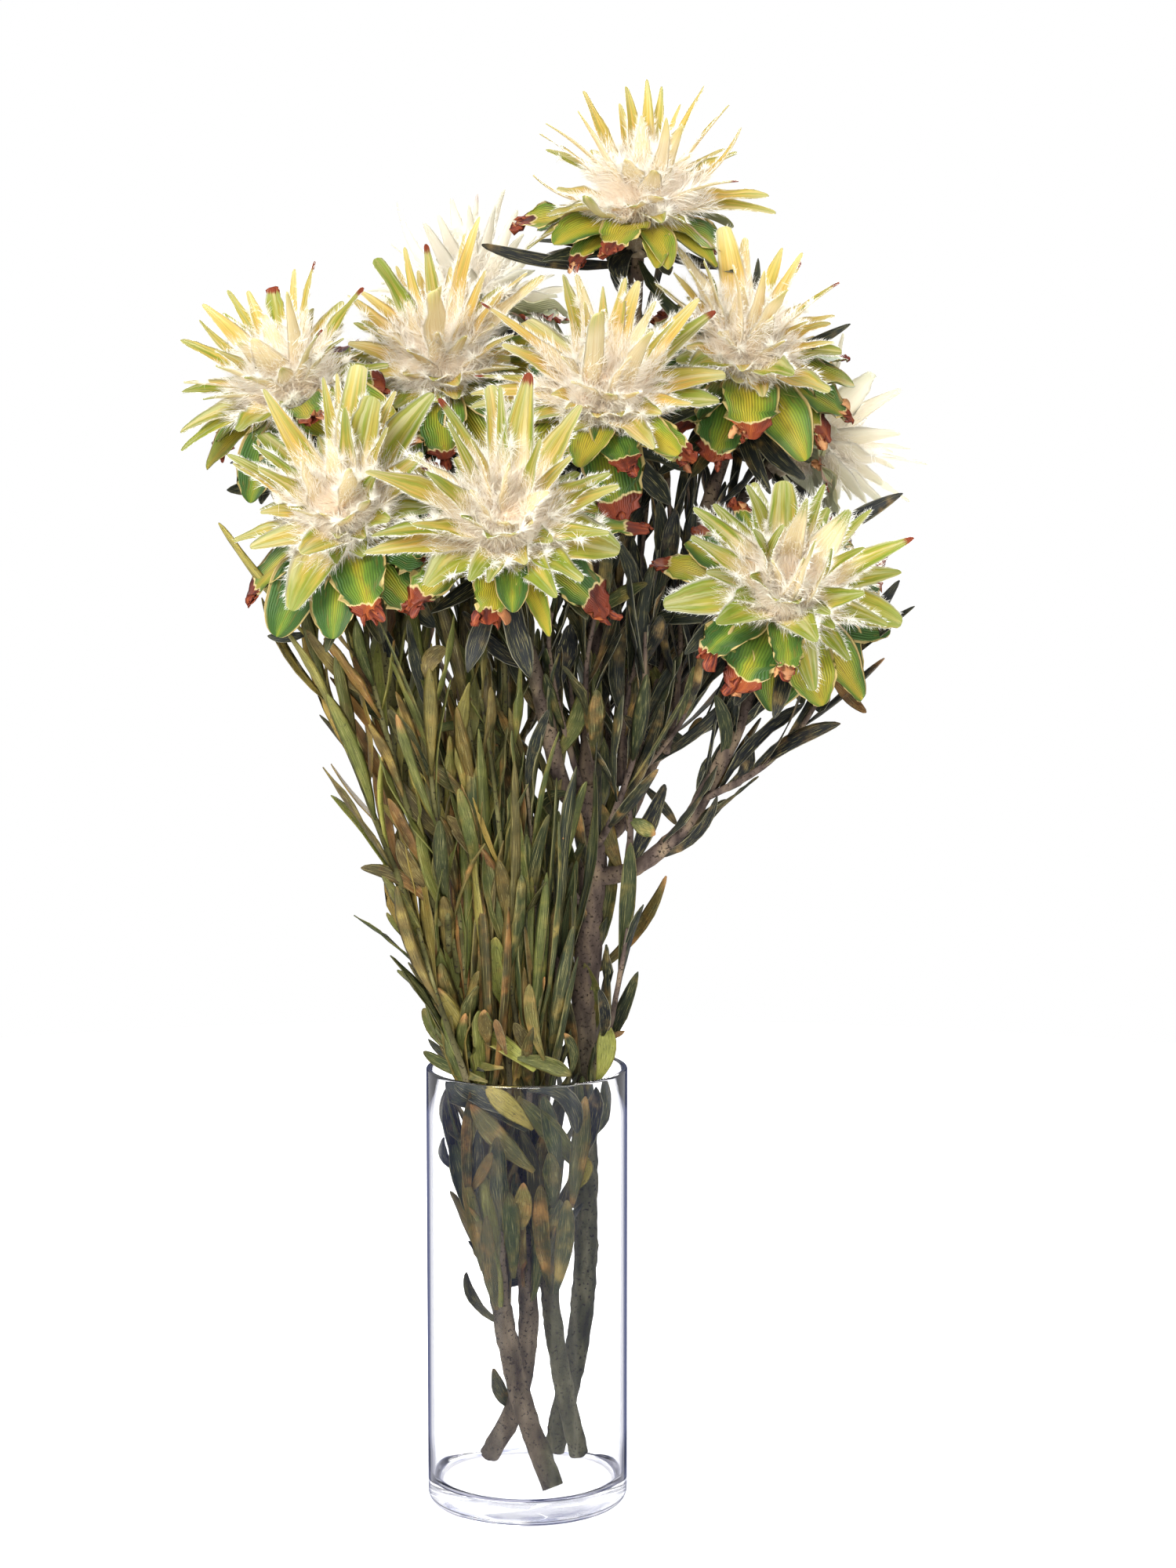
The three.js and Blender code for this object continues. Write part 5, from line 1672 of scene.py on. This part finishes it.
def glass_material():
    """Clear soda-lime glass, pressed and fire polished: colourless face on, lavender-grey edge on, partly its
    own tint through the longer path and partly a painted reflection of the dark room.

    The outside of its heel has painted grey streaks, a painted reflection of the room in the thick glass of
    the foot.
    """
    tree = Tree(bpy.data.materials.new("clear_soda_lime_glass"))
    add = tree.add
    # painted reflection: edge on, the tint darkens to lavender-grey, partly the glass's own tint through the
    # longer path and partly the dark room reflected in the edges
    facing = add("ShaderNodeLayerWeight", {"Blend": 0.5}, out="Facing")
    stops = [(0.0, "FFFFFF"), (0.62, "FFFFFF"), (0.8, "F4F4FA"), (0.92, "E4E6F0"), (1.0, "C4C8DC")]
    colour = add("ramp", facing, stops)
    spot = add("ShaderNodeTexCoord", out="Object")
    stretch = add("ShaderNodeMapping", {"Vector": spot, "Scale": (1.0, 1.0, 5.0)})
    painted_streaks = add("noise", stretch, 55.0, 3.0)
    width, depth, height = add("ShaderNodeSeparateXYZ", {0: spot}).node.outputs
    outward = add("add", add("multiply", width, width), add("multiply", depth, depth))
    # painted reflection: grey streaks on the outside of the heel stand for the room reflected in the thick
    # glass of the foot
    heel = add("multiply", add("step", height, *PAINTED_STREAK_HEIGHTS), add("step", outward, *PAINTED_STREAK_REACH))
    thick = add("multiply", heel, add("step", painted_streaks, 0.42, 0.6))
    colour = add("mix", thick, colour, "9CA0BC")
    shader = add("ShaderNodeBsdfPrincipled", {"Base Color": colour, "Roughness": 0.0})
    shader.node.inputs["IOR"].default_value = 1.5
    shader.node.inputs["Transmission Weight"].default_value = 1.0
    return tree.done(shader)


def build_vase():
    """The glass cylinder: its section turned round the Z axis."""
    profile = vase_profile()
    turn = math.tau * np.arange(VASE_SIDES) / VASE_SIDES
    rings = np.empty((len(profile), VASE_SIDES, 3))
    rings[..., 0] = profile[:, :1] * np.cos(turn)
    rings[..., 1] = profile[:, :1] * np.sin(turn)
    rings[..., 2] = profile[:, 1:]
    points = np.concatenate([[(0.0, 0.0, 0.0)], rings.reshape(-1, 3), [(0.0, 0.0, VASE_FLOOR)]])
    mesh = make_mesh("vase", points, *tube_faces(1, len(profile), VASE_SIDES), {})
    place_piece("glass_cylinder_vase", mesh, shared(glass_material), ["vase"])


class BOUQUET_OT_greenery(bpy.types.Operator):
    """Builds the stems, side shoots and leaves"""

    bl_idname = "bouquet.greenery"
    bl_label = "Stems and leaves"

    def execute(self, context):
        build_greenery()
        return {"FINISHED"}


class BOUQUET_OT_vase(bpy.types.Operator):
    """Builds the glass cylinder vase"""

    bl_idname = "bouquet.vase"
    bl_label = "Vase"

    def execute(self, context):
        build_vase()
        return {"FINISHED"}


FLOOR_RADIUS = 1.3
FLOOR_RINGS = 24
FLOOR_SIDES = 72
FLOOR_GLOW = 0.75


def floor_material():
    """Opal white studio board, lit from under itself as well as from above, so that it stays pale.

    It doesn't show in mirrored light, so that it puts no haze on the glass.
    """
    tree = Tree(bpy.data.materials.new("opal_white_board"))
    add = tree.add
    spot = add("ShaderNodeTexCoord", out="Object")
    grain = add("noise", spot, 8.0, 3.0)
    colour = add("ramp", grain, [(0.3, "F4F4F4"), (0.7, "F8F8F7")])
    shader = add("ShaderNodeBsdfPrincipled", {"Base Color": colour, "Roughness": 0.9})
    shader.node.inputs["Emission Color"].default_value = linear("F6F6FA")
    shader.node.inputs["Emission Strength"].default_value = FLOOR_GLOW
    mirrored = add("greater_than", add("ShaderNodeLightPath", out="Glossy Depth"), 0.5)
    clear = add("ShaderNodeBsdfTransparent")
    both = add("ShaderNodeMixShader", {0: mirrored, 1: shader, 2: clear})
    return tree.done(both)


def make_floor():
    """The floor: a flat disc of rings round the Z axis, facing up."""
    radius = np.linspace(0, FLOOR_RADIUS, FLOOR_RINGS + 1)[1:, None]
    turn = math.tau * np.arange(FLOOR_SIDES) / FLOOR_SIDES
    rings = np.stack([radius * np.cos(turn), radius * np.sin(turn), 0 * radius * turn], -1).reshape(-1, 3)
    points = np.concatenate([[(0.0, 0.0, 0.0)], rings])
    here = np.arange(FLOOR_SIDES)
    following = (here + 1) % FLOOR_SIDES
    inside = np.stack([0 * here, 1 + here, 1 + following], -1)
    start = np.arange(FLOOR_RINGS - 1)[:, None] * FLOOR_SIDES + 1
    corners = [start + here, start + here + FLOOR_SIDES, start + following + FLOOR_SIDES, start + following]
    mesh = make_mesh("floor", points, np.stack(corners, -1).reshape(-1, 4), inside, {})
    mesh.materials.append(floor_material())
    board = bpy.data.objects.new("studio_floor", mesh)
    bpy.context.scene.collection.objects.link(board)


def make_camera():
    """The camera where the picture was taken from."""
    data = bpy.data.cameras.new("camera")
    data.sensor_width = SENSOR_MM
    data.lens = FOCAL_PIXELS / PICTURE_HEIGHT * SENSOR_MM
    camera = bpy.data.objects.new("camera", data)
    camera.location = CAMERA_PLACE
    camera.rotation_euler = (math.pi / 2 - CAMERA_DROP, 0, 0)
    bpy.context.scene.collection.objects.link(camera)
    bpy.context.scene.camera = camera


def make_light(name, place, target, size, power):
    """A square studio light that faces a point."""
    data = bpy.data.lights.new(name, "AREA")
    data.size = size
    data.energy = power
    light = bpy.data.objects.new(name, data)
    light.location = place
    aim = Vector(target) - Vector(place)
    light.rotation_euler = aim.to_track_quat("-Z", "Y").to_euler()
    bpy.context.scene.collection.objects.link(light)


WHITE = (1.0, 1.0, 1.0, 1.0)
ROOM_LIGHT = 0.4
FLAG_COUNT = 4  # black flags round the room, which draw the dark lines in the edges of the glass


def make_world():
    """A white room, dimmer as a light on matt surfaces.

    In mirrored light it has dark flags round it, and grey streaks below, which the glass picks up.
    """
    world = bpy.data.worlds.new("studio")
    tree = Tree(world)
    add = tree.add
    path = add("ShaderNodeLightPath").node
    way = add("ShaderNodeTexCoord", out="Generated")
    apart = add("ShaderNodeSeparateXYZ", {0: way}).node
    turn = add("arctan2", apart.outputs[0], apart.outputs[1])
    wave = add("cosine", add("multiply", turn, float(FLAG_COUNT)))
    frontward = {0: apart.outputs[1], 1: -0.5, 2: 0.0, 3: 0.5, 4: 1.0}
    in_front = add("ShaderNodeMapRange", frontward)
    between = add("multiply", add("step", wave, -0.2, -0.55), in_front)
    level = add("mix", between, "6A7092", "F6F6FC")
    above = add("mix", add("step", apart.outputs[2], 0.12, 0.5), level, "F4F4F8")
    streaks = add("step", add("sine", add("multiply", turn, 6.0)), 0.1, 0.7)
    below = add("mix", streaks, "C8C8DC", "4C5274")
    gloss = add("mix", add("step", apart.outputs[2], -0.25, -0.5), above, below)
    seen = add("ShaderNodeBackground", {"Color": WHITE, "Strength": 1.0})
    soft = add("ShaderNodeBackground", {"Color": WHITE, "Strength": ROOM_LIGHT})
    mirrored = add("ShaderNodeBackground", {"Color": gloss, "Strength": 1.0})
    in_matt = add("greater_than", path.outputs["Diffuse Depth"], 0.5)
    in_gloss = add("greater_than", path.outputs["Glossy Depth"], 0.5)
    matt = add("ShaderNodeMixShader", {0: in_matt, 1: seen, 2: soft})
    both = add("ShaderNodeMixShader", {0: in_gloss, 1: matt, 2: mirrored})
    bpy.context.scene.world = tree.done(both)


# Each light: name, place, side in metres and power in watts.
LIGHT_TARGET = (0.0, 0.0, 0.47)
LIGHTS = (
    ("key", (-0.9, -1.5, 1.5), 0.8, 52),
    ("front", (0.1, -2.2, 0.9), 1.0, 28),
    ("fill", (1.3, -1.2, 1.2), 1.0, 14),
    ("rear", (0.5, 1.5, 1.5), 1.0, 42),
)


class BOUQUET_OT_stage(bpy.types.Operator):
    """Builds the floor, the lights and the camera"""

    bl_idname = "bouquet.stage"
    bl_label = "Stage"

    def execute(self, context):
        make_floor()
        make_camera()
        make_world()
        for name, place, size, power in LIGHTS:
            make_light(name, place, LIGHT_TARGET, size, power)
        bpy.context.scene.view_settings.view_transform = "Standard"
        return {"FINISHED"}


class BOUQUET_PT_panel(bpy.types.Panel):
    """The bouquet's settings and the steps that build it"""

    bl_label = "Preserved protea bouquet"
    bl_idname = "BOUQUET_PT_panel"
    bl_space_type = "VIEW_3D"
    bl_region_type = "UI"
    bl_category = "Bouquet"

    def draw(self, context):
        for name in BouquetSettings.__annotations__:
            self.layout.prop(context.scene.bouquet, name)
        for step in STEPS:
            self.layout.operator(step.bl_idname)


STEPS = (BOUQUET_OT_heads, BOUQUET_OT_greenery, BOUQUET_OT_vase, BOUQUET_OT_stage)
CLASSES = (BouquetSettings, *STEPS, BOUQUET_PT_panel)


def register():
    """Makes the classes known to Blender."""
    for made in CLASSES:
        bpy.utils.register_class(made)
    bpy.types.Scene.bouquet = PointerProperty(type=BouquetSettings)


def unregister():
    """Takes the classes out of Blender again."""
    del bpy.types.Scene.bouquet
    for made in reversed(CLASSES):
        bpy.utils.unregister_class(made)


def main():
    """Builds everything in order."""
    register()
    bpy.ops.bouquet.heads()
    bpy.ops.bouquet.greenery()
    bpy.ops.bouquet.vase()
    bpy.ops.bouquet.stage()


if __name__ == "__main__":
    main()
